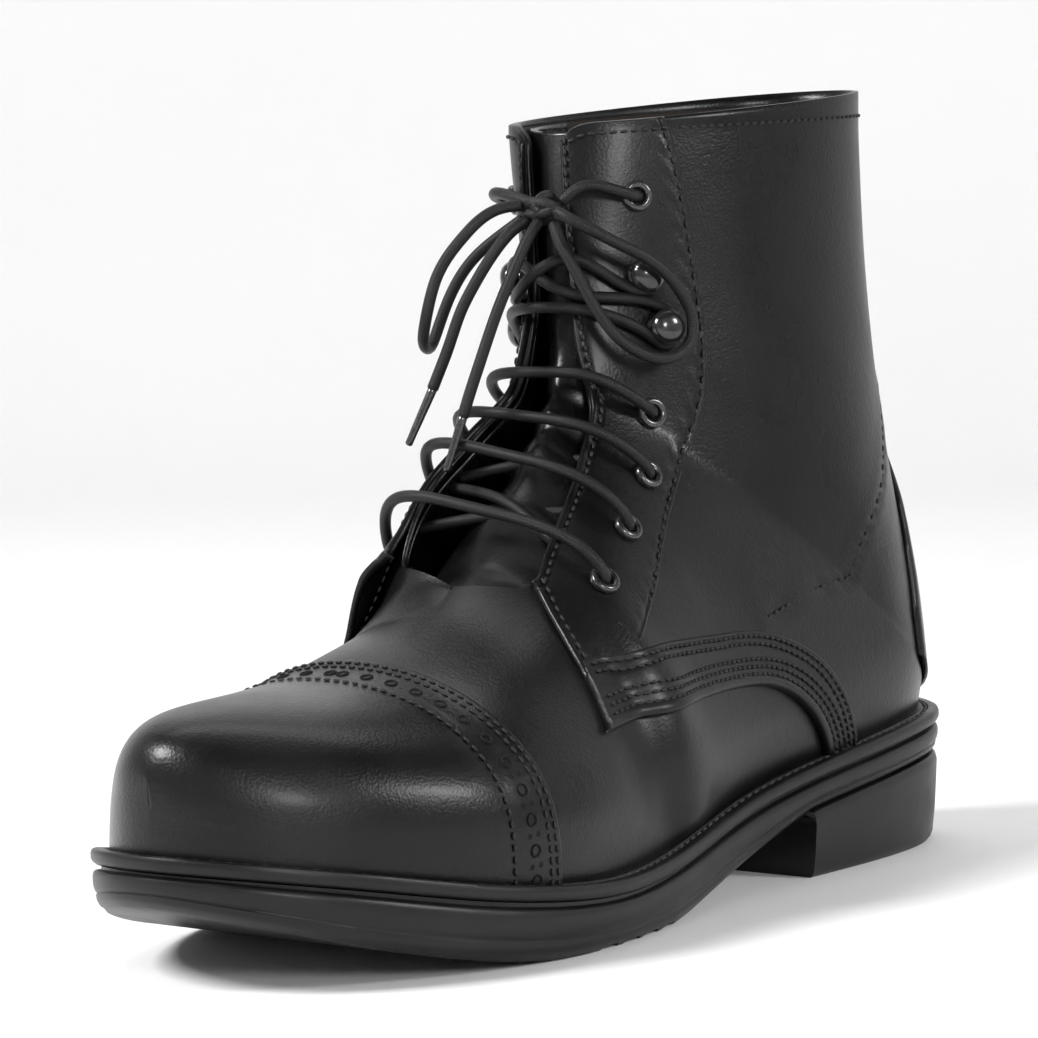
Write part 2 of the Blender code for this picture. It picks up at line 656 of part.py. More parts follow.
def stacked_loops(name, loops, finish):
    """Closed solid of loops, each a pair of inner and outer edges of the same stations, top first."""
    points = []
    faces = []
    count = len(loops[0][0])
    for inner, outer in loops:
        points.extend(inner)
        points.extend(outer)
    size = 2 * count

    def ring(level):
        left = [level * size + i for i in range(count)]
        right = [level * size + count + i for i in range(count)]
        return left, right

    for level in range(len(loops) - 1):
        left, right = ring(level)
        low_left, low_right = ring(level + 1)
        for i in range(count - 1):
            faces.append((left[i], left[i + 1], low_left[i + 1], low_left[i]))
            faces.append((right[i + 1], right[i], low_right[i], low_right[i + 1]))
        faces.append((left[-1], right[-1], low_right[-1], low_left[-1]))
        faces.append((right[0], left[0], low_left[0], low_right[0]))
    for level, flip in ((0, False), (len(loops) - 1, True)):
        left, right = ring(level)
        for i in range(count - 1):
            quad = (left[i], right[i], right[i + 1], left[i + 1])
            faces.append(quad[::-1] if flip else quad)
    mesh = mesh_from(name, points, faces)
    work = bmesh.new()
    work.from_mesh(mesh)
    bmesh.ops.recalc_face_normals(work, faces=work.faces)
    work.to_mesh(mesh)
    work.free()
    return add_object(name, mesh, finish)


def sole_loop(inset, height, stations):
    """Pair of edges at this inset, with their height read from x."""
    pair = []
    for side in (1, -1):
        x, y = outline(stations, side, inset)
        pair.append(np.stack([x, y, height(x)], -1))
    return pair


STATIONS = np.linspace(0, 1, 33)
HEEL_STATIONS = np.linspace(0, float(turn(1.12 * HEEL_LENGTH / SOLE_LENGTH)), 15)


def welt_piece():
    edge = 0.20 * WELT_THICKNESS
    loops = (
        sole_loop(edge, seat_height, STATIONS),
        sole_loop(0.0, lambda x: seat_height(x) - edge, STATIONS),
        sole_loop(0.0, lambda x: seat_height(x) - WELT_THICKNESS + edge, STATIONS),
        sole_loop(edge, lambda x: seat_height(x) - WELT_THICKNESS, STATIONS),
    )
    return stacked_loops("welt", loops, RUBBER)


def side_loops(table, top, bottom, stations):
    """Loops down a side, from a table of drops and insets."""
    loops = []
    for drop, inset in table:
        def height(x, drop=drop):
            return top(x) + (bottom(x) - top(x)) * drop
        loops.append(sole_loop(inset, height, stations))
    return loops


def lug_cutter():
    """Saw teeth across the underside at the ball."""
    first = ARCH_FROM - 0.4 * LUG_PITCH
    points = [(first - LUG_PITCH, -2 * LUG_DEPTH), (first - LUG_PITCH, -LUG_DEPTH)]
    for i in range(LUG_COUNT):
        start = first + i * LUG_PITCH
        points.append((start, -LUG_DEPTH))
        points.append((start, LUG_DEPTH))
        points.append((start + 0.36 * LUG_PITCH, -LUG_DEPTH))
    points.append((first + LUG_COUNT * LUG_PITCH, -LUG_DEPTH))
    points.append((first + LUG_COUNT * LUG_PITCH, -2 * LUG_DEPTH))
    return prism("lug_cutter", points, "Y", -BALL_WIDTH, BALL_WIDTH)


def outsole_piece():
    def top(x):
        return seat_height(x) - WELT_THICKNESS - GAP

    outsole = stacked_loops("outsole", side_loops(OUTSOLE_SIDE, top, tread_height, STATIONS), RUBBER)
    boolean(outsole, lug_cutter(), "DIFFERENCE")
    return outsole


def heel_piece():
    def top(x):
        return seat_height(x) - HEEL_BAND - GAP

    def floor(x):
        return 0.0 * x

    heel = stacked_loops("heel", side_loops(HEEL_SIDE, top, floor, HEEL_STATIONS), RUBBER)
    half = 0.5 * HEEL_SEAT_WIDTH
    radius = (half**2 + BREAST_HOLLOW**2) / (2 * BREAST_HOLLOW)
    work = bmesh.new()
    bmesh.ops.create_cone(
        work, cap_ends=True, segments=96, radius1=radius, radius2=radius, depth=4 * SEAT_HEIGHT
    )
    mesh = bpy.data.meshes.new("breast_cutter")
    work.to_mesh(mesh)
    work.free()
    cutter = as_cutter(add_object("breast_cutter", mesh, RUBBER, CUTTERS))
    cutter.location = to_frame((HEEL_LENGTH - BREAST_HOLLOW + radius, 0.0, 0.0))
    boolean(heel, cutter, "DIFFERENCE")
    return heel


def insole_piece():
    inset = WELT_REACH + UPPER_WALL + INSOLE_GAP
    loops = (
        sole_loop(inset, lambda x: seat_height(x) + GAP + INSOLE_THICKNESS, STATIONS),
        sole_loop(inset, lambda x: seat_height(x) + GAP, STATIONS),
    )
    return stacked_loops("insole", loops, INSOLE_LEATHER)


def seat_cutter():
    """All that lies below the welt's top, which trims the upper and what is laid on it."""
    wide = -2 * WELT_REACH
    loops = (
        sole_loop(wide, lambda x: seat_height(x) + GAP, STATIONS),
        sole_loop(wide, lambda x: seat_height(x) - SOLE_THICKNESS, STATIONS),
    )
    cutter = as_cutter(stacked_loops("seat_cutter", loops, RUBBER))
    BOOT.objects.unlink(cutter)
    CUTTERS.objects.link(cutter)
    return cutter


def upper_piece(trimmer):
    strips = [laid_strip(side, ROWS, COLUMNS, 0.0) for _, side in SIDES]
    upper = add_object("upper", sheet("upper", strips), LEATHER)
    solidify(upper, UPPER_WALL)
    boolean(upper, trimmer, "DIFFERENCE")
    return upper


def overlay(name, strips):
    piece = add_object(name, sheet(name, strips), LEATHER)
    solidify(piece, OVERLAY_WALL)
    return piece


def toe_cap_piece(trimmer):
    rows = [step for step in ROWS if step <= CAP_STEP]
    strips = [laid_strip(side, rows, COLUMNS, GAP + OVERLAY_WALL) for _, side in SIDES]
    cap = overlay("toe_cap", strips)
    boolean(cap, trimmer, "DIFFERENCE")
    return cap


def facing_outline():
    """Facing from the side: its front edge, the strap's top and the panel seam behind it."""
    front = side_view(FACING_FRONT)
    top = side_view(STRAP_TOP)[:2]
    seam = smooth_line(side_view(PANEL_SEAM), 14)
    clear = [(x, z + GAP) for x, z in (top[0], seam[0])]
    ahead = [(0.50 * SOLE_LENGTH, up(1.1)), (0.67 * SOLE_LENGTH, up(0.5))]
    return seam[1:] + ahead + front[:1] + clear


def strap_outline():
    top = smooth_line(side_view(STRAP_TOP), 16)
    lower = smooth_line(side_view(STRAP_LOWER), 14)
    end = [(top[-1][0], up(-0.10)), (lower[-1][0], up(-0.10))]
    return top + end + lower[::-1]


def quarter_pieces(trimmer):
    """Facing and strap of each side, cut from one lifted form of the upper."""
    rows = [step for step in ROWS if step >= 0.32]
    facing_cutter = prism("facing_cutter", facing_outline(), "Y", -BALL_WIDTH, BALL_WIDTH)
    strap_cutter = prism("strap_cutter", strap_outline(), "Y", -BALL_WIDTH, BALL_WIDTH)
    for label, side in SIDES:
        for name, cutter in (("facing", facing_cutter), ("strap", strap_cutter)):
            strip = laid_strip(side, rows, COLUMNS, GAP + OVERLAY_WALL)
            piece = overlay(f"{name}_{label}", [strip])
            boolean(piece, cutter, "INTERSECT")
            if name == "strap":
                boolean(piece, trimmer, "DIFFERENCE")


def backstay_piece(trimmer):
    rows = [step for step in ROWS if step >= 0.57]
    columns = [share for share in COLUMNS if share >= 0.77]
    strips = [laid_strip(side, rows, columns, 2 * GAP + OVERLAY_WALL) for _, side in SIDES]
    backstay = overlay("backstay", strips)
    half = 0.5 * BACKSTAY_WIDTH
    left = []
    right = []
    for rise, flare in ((0.008, 2.3), (0.03, 2.1), (0.10, 1.3), (0.20, 1.0), (0.6, 1.0), (1.1, 1.0)):
        middle = float(sway(up(rise), 0.0))
        left.append((middle + flare * half, up(rise)))
        right.append((middle - flare * half, up(rise)))
    cutter = prism("backstay_cutter", left + right[::-1], "X", -0.2 * L, 0.15 * L)
    boolean(backstay, cutter, "INTERSECT")
    boolean(backstay, trimmer, "DIFFERENCE")
    return backstay


def back_step(z):
    """Step at which the back stands at this height."""
    steps = np.linspace(HEEL_STEP, 1.0, 200)
    return float(np.interp(z, BACK_Z(steps), steps))


def back_share(step, side, width):
    """Share of a section at which it is this far from the back's middle."""
    shares = np.linspace(1.0, CREST_SHARE, 120)
    away = np.abs(section(step, side, shares)[:, 1] - section(step, side, 1.0)[1])
    return float(np.interp(width, away, shares))


def spur_rest_piece():
    """Small ledge across the back, on which a spur sits."""
    middle = up(SPUR_REST_RISE)
    strips = []
    for _, side in SIDES:
        grid = []
        for z in np.linspace(middle - 0.5 * SPUR_REST_HEIGHT, middle + 0.5 * SPUR_REST_HEIGHT, 3):
            step = back_step(float(z))
            first = back_share(step, side, 0.5 * SPUR_REST_WIDTH)
            lift = 3 * GAP + OVERLAY_WALL + SPUR_REST_DEPTH
            grid.append([skin(step, side, first + (1 - first) * k / 5, lift) for k in range(6)])
        strips.append((side, grid))
    rest = add_object("spur_rest", sheet("spur_rest", strips), LEATHER)
    solidify(rest, SPUR_REST_DEPTH)


def tongue_piece():
    lift = -(UPPER_WALL + TONGUE_GAP)
    rows = [0.355, 0.385, 0.42, 0.45, 0.48, 0.51, 0.54, 0.57, 0.60, 0.64, 0.68, 0.73, 0.79, 0.86, 0.93, 0.99]
    strips = []
    for _, side in SIDES:
        grid = []
        for step in rows:
            last = share_at(step, side, 0.5 * TONGUE_WIDTH)
            grid.append([lifted(step, side, last * k / 7, lift) for k in range(8)])
        strips.append((side, grid))
    tongue = add_object("tongue", sheet("tongue", strips), TONGUE_LEATHER)
    solidify(tongue, TONGUE_WALL)
    return tongue


def surface_frame(x, z, side, lift):
    """Matrix at the place seen from the side at x and z, with its own Z along the normal."""
    step, share = on_side(x, z, side)
    low = skin(step, side, share, lift)
    along = skin(step + SMALL, side, share, lift) - skin(step - SMALL, side, share, lift)
    across = skin(step, side, share + SMALL, lift) - skin(step, side, share - SMALL, lift)
    normal = Vector(np.cross(across, along) * side).normalized()
    turned = normal.to_track_quat("Z", "Y").to_matrix().to_4x4()
    return Matrix.Translation(to_frame(low)) @ turned


def eyelet_mesh():
    """Rolled ring, laid flat with its foot at z = 0."""
    minor = 0.25 * (EYELET_WIDTH - EYELET_HOLE)
    major = 0.5 * EYELET_HOLE + minor
    bpy.ops.mesh.primitive_torus_add(
        major_radius=major, minor_radius=minor, major_segments=18, minor_segments=6
    )
    obj = bpy.context.object
    mesh = obj.data
    mesh.name = "eyelet"
    for vertex in mesh.vertices:
        vertex.co.z = (vertex.co.z + minor) * EYELET_HEIGHT / (2 * minor)
    bpy.data.objects.remove(obj)
    mesh.shade_smooth()
    return mesh


HOOK_PROFILE = (
    (0.00, 1.00), (0.55, 0.94), (0.88, 0.78), (1.00, 0.58), (0.90, 0.42), (0.58, 0.34), (0.55, 0.10), (0.80, 0.0),
    (0.00, 0.00),
)


def hook_mesh():
    """Domed lacing hook, turned from its profile."""
    mesh = bpy.data.meshes.new("hook")
    points = [(0.5 * HOOK_WIDTH * out, 0.0, HOOK_HEIGHT * high) for out, high in HOOK_PROFILE]
    mesh.from_pydata(points, [(i, i + 1) for i in range(len(points) - 1)], [])
    return mesh


def lacing_hardware():
    ring = eyelet_mesh()
    hook = hook_mesh()
    lift = GAP + OVERLAY_WALL + 1.5 * GAP
    for name, along, rise, kind in LACING:
        for label, side in SIDES:
            mesh = ring if kind == "eyelet" else hook
            obj = bpy.data.objects.new(f"{name}_{label}", mesh)
            if not mesh.materials:
                mesh.materials.append(ENAMEL)
            BOOT.objects.link(obj)
            obj.matrix_world = surface_frame(along * SOLE_LENGTH, up(rise), side, lift)
            if kind == "hook":
                spin = obj.modifiers.new("turn", "SCREW")
                spin.steps = 18
                spin.render_steps = 18
                spin.use_merge_vertices = True
                spin.merge_threshold = 0.00001


def route_tube(name, places, width, finish):
    """Round cord through these places of the frame, read from one smooth curve."""
    places = np.asarray(places, float)
    length = np.concatenate([[0], np.cumsum(np.linalg.norm(np.diff(places, axis=0), axis=1))])
    count = max(3, int(length[-1] / (2.2 * width)) + 1)
    along = np.linspace(0, length[-1], count)
    smooth = np.stack([spline(length, places[:, axis])(along) for axis in range(3)], -1)
    curve = bpy.data.curves.new(name, "CURVE")
    curve.dimensions = "3D"
    curve.bevel_depth = 0.5 * width
    curve.bevel_resolution = 2
    curve.use_fill_caps = True
    line = curve.splines.new("POLY")
    line.points.add(count - 1)
    for point, place in zip(line.points, smooth):
        point.co = (*place, 1.0)
    obj = bpy.data.objects.new(name, curve)
    curve.materials.append(finish)
    BOOT.objects.link(obj)
    return obj


def as_mesh(tube):
    """The tube as a closed mesh object, which a Boolean can join."""
    bpy.context.view_layer.update()
    graph = bpy.context.evaluated_depsgraph_get()
    mesh = bpy.data.meshes.new_from_object(tube.evaluated_get(graph))
    work = bmesh.new()
    work.from_mesh(mesh)
    bmesh.ops.remove_doubles(work, verts=work.verts, dist=0.01 * MM)
    work.to_mesh(mesh)
    work.free()
    name = tube.name
    bpy.data.objects.remove(tube)
    solid = bpy.data.objects.new(name, mesh)
    BOOT.objects.link(solid)
    return solid


ON_LEATHER = GAP + OVERLAY_WALL + LACE_GAP + 0.5 * LACE_WIDTH
OVER_EYELET = ON_LEATHER + 1.5 * GAP + EYELET_HEIGHT


def lace_place(entry, side):
    """Step, share and lift of the lace's middle over an eyelet, or just before a hook."""
    _, along, rise, kind = entry
    step, share = on_side(along * SOLE_LENGTH, up(rise), side)
    if kind == "eyelet":
        return step, share, OVER_EYELET
    reach = 0.5 * HOOK_WIDTH + LACE_GAP + 0.5 * LACE_WIDTH
    per_share = np.linalg.norm(section(step, side, share + SMALL) - section(step, side, share)) / SMALL
    return step, share - reach / per_share, ON_LEATHER


def over_tongue(start, end, below=0.0):
    """Places of a lace that leaves start, on the inner side, arches over the tongue and reaches end."""
    halves = []
    for entry, side in ((start, 1), (end, -1)):
        step, share, lift = lace_place(entry, side)
        step -= below
        edge = opening_share(step, side)
        halves.append([
            to_frame(skin(step, side, share, lift)),
            to_frame(skin(step, side, edge, OVER_EYELET)),
        ])
    inner, outer = halves
    step = 0.5 * (lace_place(start, 1)[0] + lace_place(end, -1)[0])
    rise = Vector(normal_at(step, 1, 0.0)) * LACE_ARCH
    return inner + [0.5 * (inner[1] + outer[1]) + rise] + outer[::-1]


def lace_bars():
    """Lengths of lace between the eyelets, and those between the hooks, joined where they cross."""
    by_name = {entry[0]: entry for entry in LACING}
    for letter in "abcd":
        entry = by_name[f"eyelet_{letter}"]
        route_tube(f"lace_bar_{letter}", over_tongue(entry, entry), LACE_WIDTH, LACE)
    high = by_name["hook_upper"]
    low = by_name["hook_lower"]
    routes = (
        ("lace_crossing", over_tongue(high, low)),
        ("crossing_back", over_tongue(low, high)),
        ("crossing_low", over_tongue(low, low, 0.5 * SMALL)),
    )
    crossing, *others = [as_mesh(route_tube(name, places, LACE_WIDTH, LACE)) for name, places in routes]
    for other in others:
        BOOT.objects.unlink(other)
        CUTTERS.objects.link(other)
        boolean(crossing, as_cutter(other), "UNION")


def lace_tops():
    """Lengths of lace from the top eyelets to the knot."""
    entry = LACING[0]
    knot = Vector(KNOT_PLACE) * MM
    for label, side in SIDES:
        step, share, lift = lace_place(entry, side)
        start = to_frame(skin(step, side, share, lift))
        middle = to_frame(skin(step, side, 0.5 * share, lift + 0.5 * LACE_ARCH))
        away = Vector((-0.35 * KNOT_WIDTH / 2, side * 0.83 * KNOT_LENGTH / 2, 0.46 * KNOT_HEIGHT / 2))
        end = knot + away + away.normalized() * (GAP + 0.1 * LACE_WIDTH)
        route_tube(f"lace_top_{label}", [start, middle, end], LACE_WIDTH, LACE)


def lace_bow():
    """Knot, loops and ends of the lace."""
    bpy.ops.mesh.primitive_uv_sphere_add(segments=20, ring_count=12, radius=0.5)
    knot = bpy.context.object
    knot.name = "lace_knot"
    knot.data.transform(Matrix.Diagonal((KNOT_WIDTH, KNOT_LENGTH, KNOT_HEIGHT, 1.0)))
    knot.location = Vector(KNOT_PLACE) * MM
    knot.data.materials.append(LACE)
    knot.data.shade_smooth()
    for group in knot.users_collection:
        group.objects.unlink(knot)
    BOOT.objects.link(knot)
    for name, places, width, finish in (
        ("lace_loop_outer", LOOP_OUTER, LACE_WIDTH, LACE),
        ("lace_loop_inner", LOOP_INNER, LACE_WIDTH, LACE),
        ("lace_end_outer", END_OUTER, LACE_WIDTH, LACE),
        ("lace_end_inner", END_INNER, LACE_WIDTH, LACE),
        ("aglet_outer", AGLET_OUTER, AGLET_WIDTH, ENAMEL),
        ("aglet_inner", AGLET_INNER, AGLET_WIDTH, ENAMEL),
    ):
        route_tube(name, np.array(places) * MM, width, finish)


def main():
    trimmer = seat_cutter()
    welt_piece()
    outsole_piece()
    heel_piece()
    insole_piece()
    upper_piece(trimmer)
    toe_cap_piece(trimmer)
    quarter_pieces(trimmer)
    backstay_piece(trimmer)
    spur_rest_piece()
    tongue_piece()
    lacing_hardware()
    lace_bars()
    lace_tops()
    lace_bow()


main()
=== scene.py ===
import math

import bmesh
import bpy
import numpy as np
from mathutils import Matrix, Vector


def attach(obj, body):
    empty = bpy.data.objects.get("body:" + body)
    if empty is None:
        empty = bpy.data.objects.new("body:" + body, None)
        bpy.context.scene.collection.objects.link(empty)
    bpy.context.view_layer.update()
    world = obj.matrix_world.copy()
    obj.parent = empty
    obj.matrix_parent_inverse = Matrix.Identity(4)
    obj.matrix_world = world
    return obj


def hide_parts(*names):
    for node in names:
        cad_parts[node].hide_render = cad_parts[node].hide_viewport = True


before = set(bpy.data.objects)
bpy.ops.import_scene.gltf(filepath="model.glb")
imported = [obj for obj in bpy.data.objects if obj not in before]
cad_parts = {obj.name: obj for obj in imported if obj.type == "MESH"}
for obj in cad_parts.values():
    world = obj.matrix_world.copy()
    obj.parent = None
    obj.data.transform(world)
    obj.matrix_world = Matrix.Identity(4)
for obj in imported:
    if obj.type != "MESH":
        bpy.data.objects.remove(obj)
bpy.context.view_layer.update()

# Finish of a black lace-up paddock boot. The leather layers are read from the same
# family of sections as the solids, so each lies where its solid lies. Lengths are metres.
# The form is written with x from the heel's back. The frame's x is ORIGIN_X less.
MM = 0.001

# Sizes of the sole
SOLE_LENGTH = 0.290
BALL_WIDTH = 0.104
WAIST_WIDTH = 0.071
HEEL_SEAT_WIDTH = 0.071
SEAT_HEIGHT = 0.0345
SOLE_THICKNESS = 0.0150
TOE_SPRING = 0.0150
WELT_THICKNESS = 0.0035
WELT_REACH = 0.0055
HEEL_LENGTH = 0.0885
HEEL_HEIGHT = 0.0165
BREAST_HOLLOW = 0.006

# Sizes of the upper
TOE_RISE = 0.0335
THROAT_RISE = 0.0580
SHAFT_HEIGHT = 0.1550
COLLAR_DROP = 0.0065
COLLAR_WIDTH = 0.056
ANKLE_WIDTH = 0.055
HEEL_GIRTH_WIDTH = 0.060
UPPER_WALL = 0.0020
LAYER = 0.0015
TONGUE_WALL = 0.0018
TONGUE_WIDTH = 0.052
FACING_GAP = 0.0110
BACKSTAY_WIDTH = 0.010
FRONT_SWAY = 0.013
BACK_SWAY = 0.003
OUTER_FLARE = 0.011

# Sizes of the lacing
EYELET_WIDTH = 0.0074
EYELET_HOLE = 0.0036
EYELET_HEIGHT = 0.0013
HOOK_WIDTH = 0.0088
HOOK_HEIGHT = 0.0060
LACE_WIDTH = 0.0028
LACE_ARCH = 0.0030

# Clearances between the layers
GAP = 0.0003
TONGUE_GAP = 0.0018
LACE_GAP = 0.0004

# Sheets of leather, and how they are stitched
LEATHER_SHEET = 0.0013
OVERLAY_SHEET = 0.0012
FACING_SHEET = 0.0011
SPUR_REST_SHEET = 0.0010
LINING_SHEET = 0.0006
LINING_DROP = 0.0014
LINING_STEP = 0.74
EDGE_ROLL = 0.0009
GROOVE_DEPTH = 0.00022
GROOVE_WIDTH = 0.0006
EDGE_ROW = 0.0026
COLLAR_ROW = 0.0030
SEAM_ROW = 0.0018
STRAP_TOP_ROWS = (0.0020, 0.0042)
STRAP_LOWER_ROWS = (0.0034, 0.0056, 0.0078)
CAP_ROWS = (0.0075, 0.0150)
FINE_PITCH = 0.0026
STRAP_PITCH = 0.0023
SEAM_PITCH = 0.0031
COUNTER_PITCH = 0.0029
WELT_PITCH = 0.0036
HOLE_PITCH = 0.0034
WELT_ROW = 0.0034
THREAD_HEIGHT = 0.0001
ORIGIN_X = 0.5 * SOLE_LENGTH
L = SOLE_LENGTH

# Shares of the length from the heel, then half widths of the inner and outer side
OUTLINE = (
    (0.000, 0.000, 0.000),
    (0.012, 0.180 * HEEL_SEAT_WIDTH, 0.180 * HEEL_SEAT_WIDTH),
    (0.050, 0.350 * HEEL_SEAT_WIDTH, 0.360 * HEEL_SEAT_WIDTH),
    (0.150, 0.478 * HEEL_SEAT_WIDTH, 0.492 * HEEL_SEAT_WIDTH),
    (0.280, 0.510 * HEEL_SEAT_WIDTH, 0.500 * HEEL_SEAT_WIDTH),
    (0.420, 0.540 * WAIST_WIDTH, 0.540 * WAIST_WIDTH),
    (0.550, 0.448 * BALL_WIDTH, 0.465 * BALL_WIDTH),
    (0.655, 0.497 * BALL_WIDTH, 0.500 * BALL_WIDTH),
    (0.710, 0.500 * BALL_WIDTH, 0.492 * BALL_WIDTH),
    (0.770, 0.483 * BALL_WIDTH, 0.470 * BALL_WIDTH),
    (0.860, 0.411 * BALL_WIDTH, 0.394 * BALL_WIDTH),
    (0.940, 0.291 * BALL_WIDTH, 0.282 * BALL_WIDTH),
    (0.985, 0.150 * BALL_WIDTH, 0.146 * BALL_WIDTH),
    (1.000, 0.000, 0.000),
)
SEAT_FALL = SEAT_HEIGHT - SOLE_THICKNESS
# Shares of the length, then heights of the seat above the floor
SEAT = (
    (0.000, SEAT_HEIGHT),
    (0.090, SOLE_THICKNESS + 0.950 * SEAT_FALL),
    (0.190, SOLE_THICKNESS + 0.832 * SEAT_FALL),
    (0.290, SOLE_THICKNESS + 0.673 * SEAT_FALL),
    (0.390, SOLE_THICKNESS + 0.452 * SEAT_FALL),
    (0.470, SOLE_THICKNESS + 0.240 * SEAT_FALL),
    (0.550, SOLE_THICKNESS + 0.080 * SEAT_FALL),
    (0.640, SOLE_THICKNESS),
    (0.720, SOLE_THICKNESS + 0.100 * TOE_SPRING),
    (0.800, SOLE_THICKNESS + 0.310 * TOE_SPRING),
    (0.870, SOLE_THICKNESS + 0.560 * TOE_SPRING),
    (0.940, SOLE_THICKNESS + 0.810 * TOE_SPRING),
    (1.000, SOLE_THICKNESS + TOE_SPRING),
)
ARCH_FROM = 0.565 * SOLE_LENGTH
TOE_LIFT_FROM = 0.690 * SOLE_LENGTH
ARCH_CURVE = 1.4
TOE_LIFT_CURVE = 1.8
TREAD_TIP = 1.30 * TOE_SPRING
LUG_COUNT = 4
LUG_PITCH = 0.0095
LUG_DEPTH = 0.0022
HEEL_STEP = 0.66


def spline(xs, ys):
    """Natural cubic curve through the given points, as a function."""
    xs = np.asarray(xs, float)
    ys = np.asarray(ys, float)
    gaps = np.diff(xs)
    count = len(xs)
    matrix = np.zeros((count, count))
    right = np.zeros(count)
    matrix[0, 0] = 1.0
    matrix[-1, -1] = 1.0
    for i in range(1, count - 1):
        matrix[i, i - 1] = gaps[i - 1]
        matrix[i, i] = 2 * (gaps[i - 1] + gaps[i])
        matrix[i, i + 1] = gaps[i]
        right[i] = 6 * ((ys[i + 1] - ys[i]) / gaps[i] - (ys[i] - ys[i - 1]) / gaps[i - 1])
    bends = np.linalg.solve(matrix, right)

    def value(x):
        x = np.clip(np.asarray(x, float), xs[0], xs[-1])
        i = np.clip(np.searchsorted(xs, x) - 1, 0, count - 2)
        gap = gaps[i]
        before = xs[i + 1] - x
        after = x - xs[i]
        cubic = (bends[i] * before**3 + bends[i + 1] * after**3) / (6 * gap)
        low = (ys[i] / gap - bends[i] * gap / 6) * before
        high = (ys[i + 1] / gap - bends[i + 1] * gap / 6) * after
        return cubic + low + high

    return value


def turn(along):
    """Share of the sole's length as a turn from 0 to 1, which bunches at heel and toe."""
    return np.arccos(np.clip(1 - 2 * np.asarray(along, float), -1, 1)) / math.pi


def column(table, index):
    return [row[index] for row in table]


INNER_HALF = spline(turn(column(OUTLINE, 0)), column(OUTLINE, 1))
OUTER_HALF = spline(turn(column(OUTLINE, 0)), column(OUTLINE, 2))
SEAT_CURVE = spline(column(SEAT, 0), column(SEAT, 1))


def seat_height(x):
    return SEAT_CURVE(np.asarray(x) / SOLE_LENGTH)


HEEL_BAND = float(seat_height(HEEL_LENGTH)) - HEEL_HEIGHT


def tread_height(x):
    """Height of the outsole's underside at x."""
    x = np.asarray(x, float)
    arch = HEEL_HEIGHT * (np.clip(ARCH_FROM - x, 0, None) / (ARCH_FROM - HEEL_LENGTH)) ** ARCH_CURVE
    lift = np.clip(x - TOE_LIFT_FROM, 0, None) / (SOLE_LENGTH - TOE_LIFT_FROM)
    fore = arch + TREAD_TIP * lift**TOE_LIFT_CURVE
    return np.where(x < HEEL_LENGTH, seat_height(x) - HEEL_BAND, fore)


def outline(tau, side, inset=0.0):
    """Point of the sole's edge moved inwards. side is 1 on the inner half, -1 on the outer."""
    half = INNER_HALF if side > 0 else OUTER_HALF
    tau = np.asarray(tau, float)
    small = 1e-4

    def at(t):
        sign = np.where((t < 0) | (t > 1), -1.0, 1.0)
        t = np.where(t < 0, -t, np.where(t > 1, 2 - t, t))
        return 0.5 * SOLE_LENGTH * (1 - np.cos(math.pi * t)), sign * half(t)

    x, y = at(tau)
    x0, y0 = at(tau - small)
    x1, y1 = at(tau + small)
    length = np.hypot(x1 - x0, y1 - y0)
    out_x = -(y1 - y0) / length
    out_y = (x1 - x0) / length
    return x - out_x * inset, (y - out_y * inset) * side


def seat_at(share):
    return float(SEAT_CURVE(share))


def up(share):
    return SEAT_HEIGHT + share * SHAFT_HEIGHT


TRIM = 0.0012
TOE_X = SOLE_LENGTH - WELT_REACH
BALL = 0.5 * BALL_WIDTH
GIRTH = 0.5 * HEEL_GIRTH_WIDTH
ANKLE = 0.5 * ANKLE_WIDTH
COLLAR = 0.5 * COLLAR_WIDTH
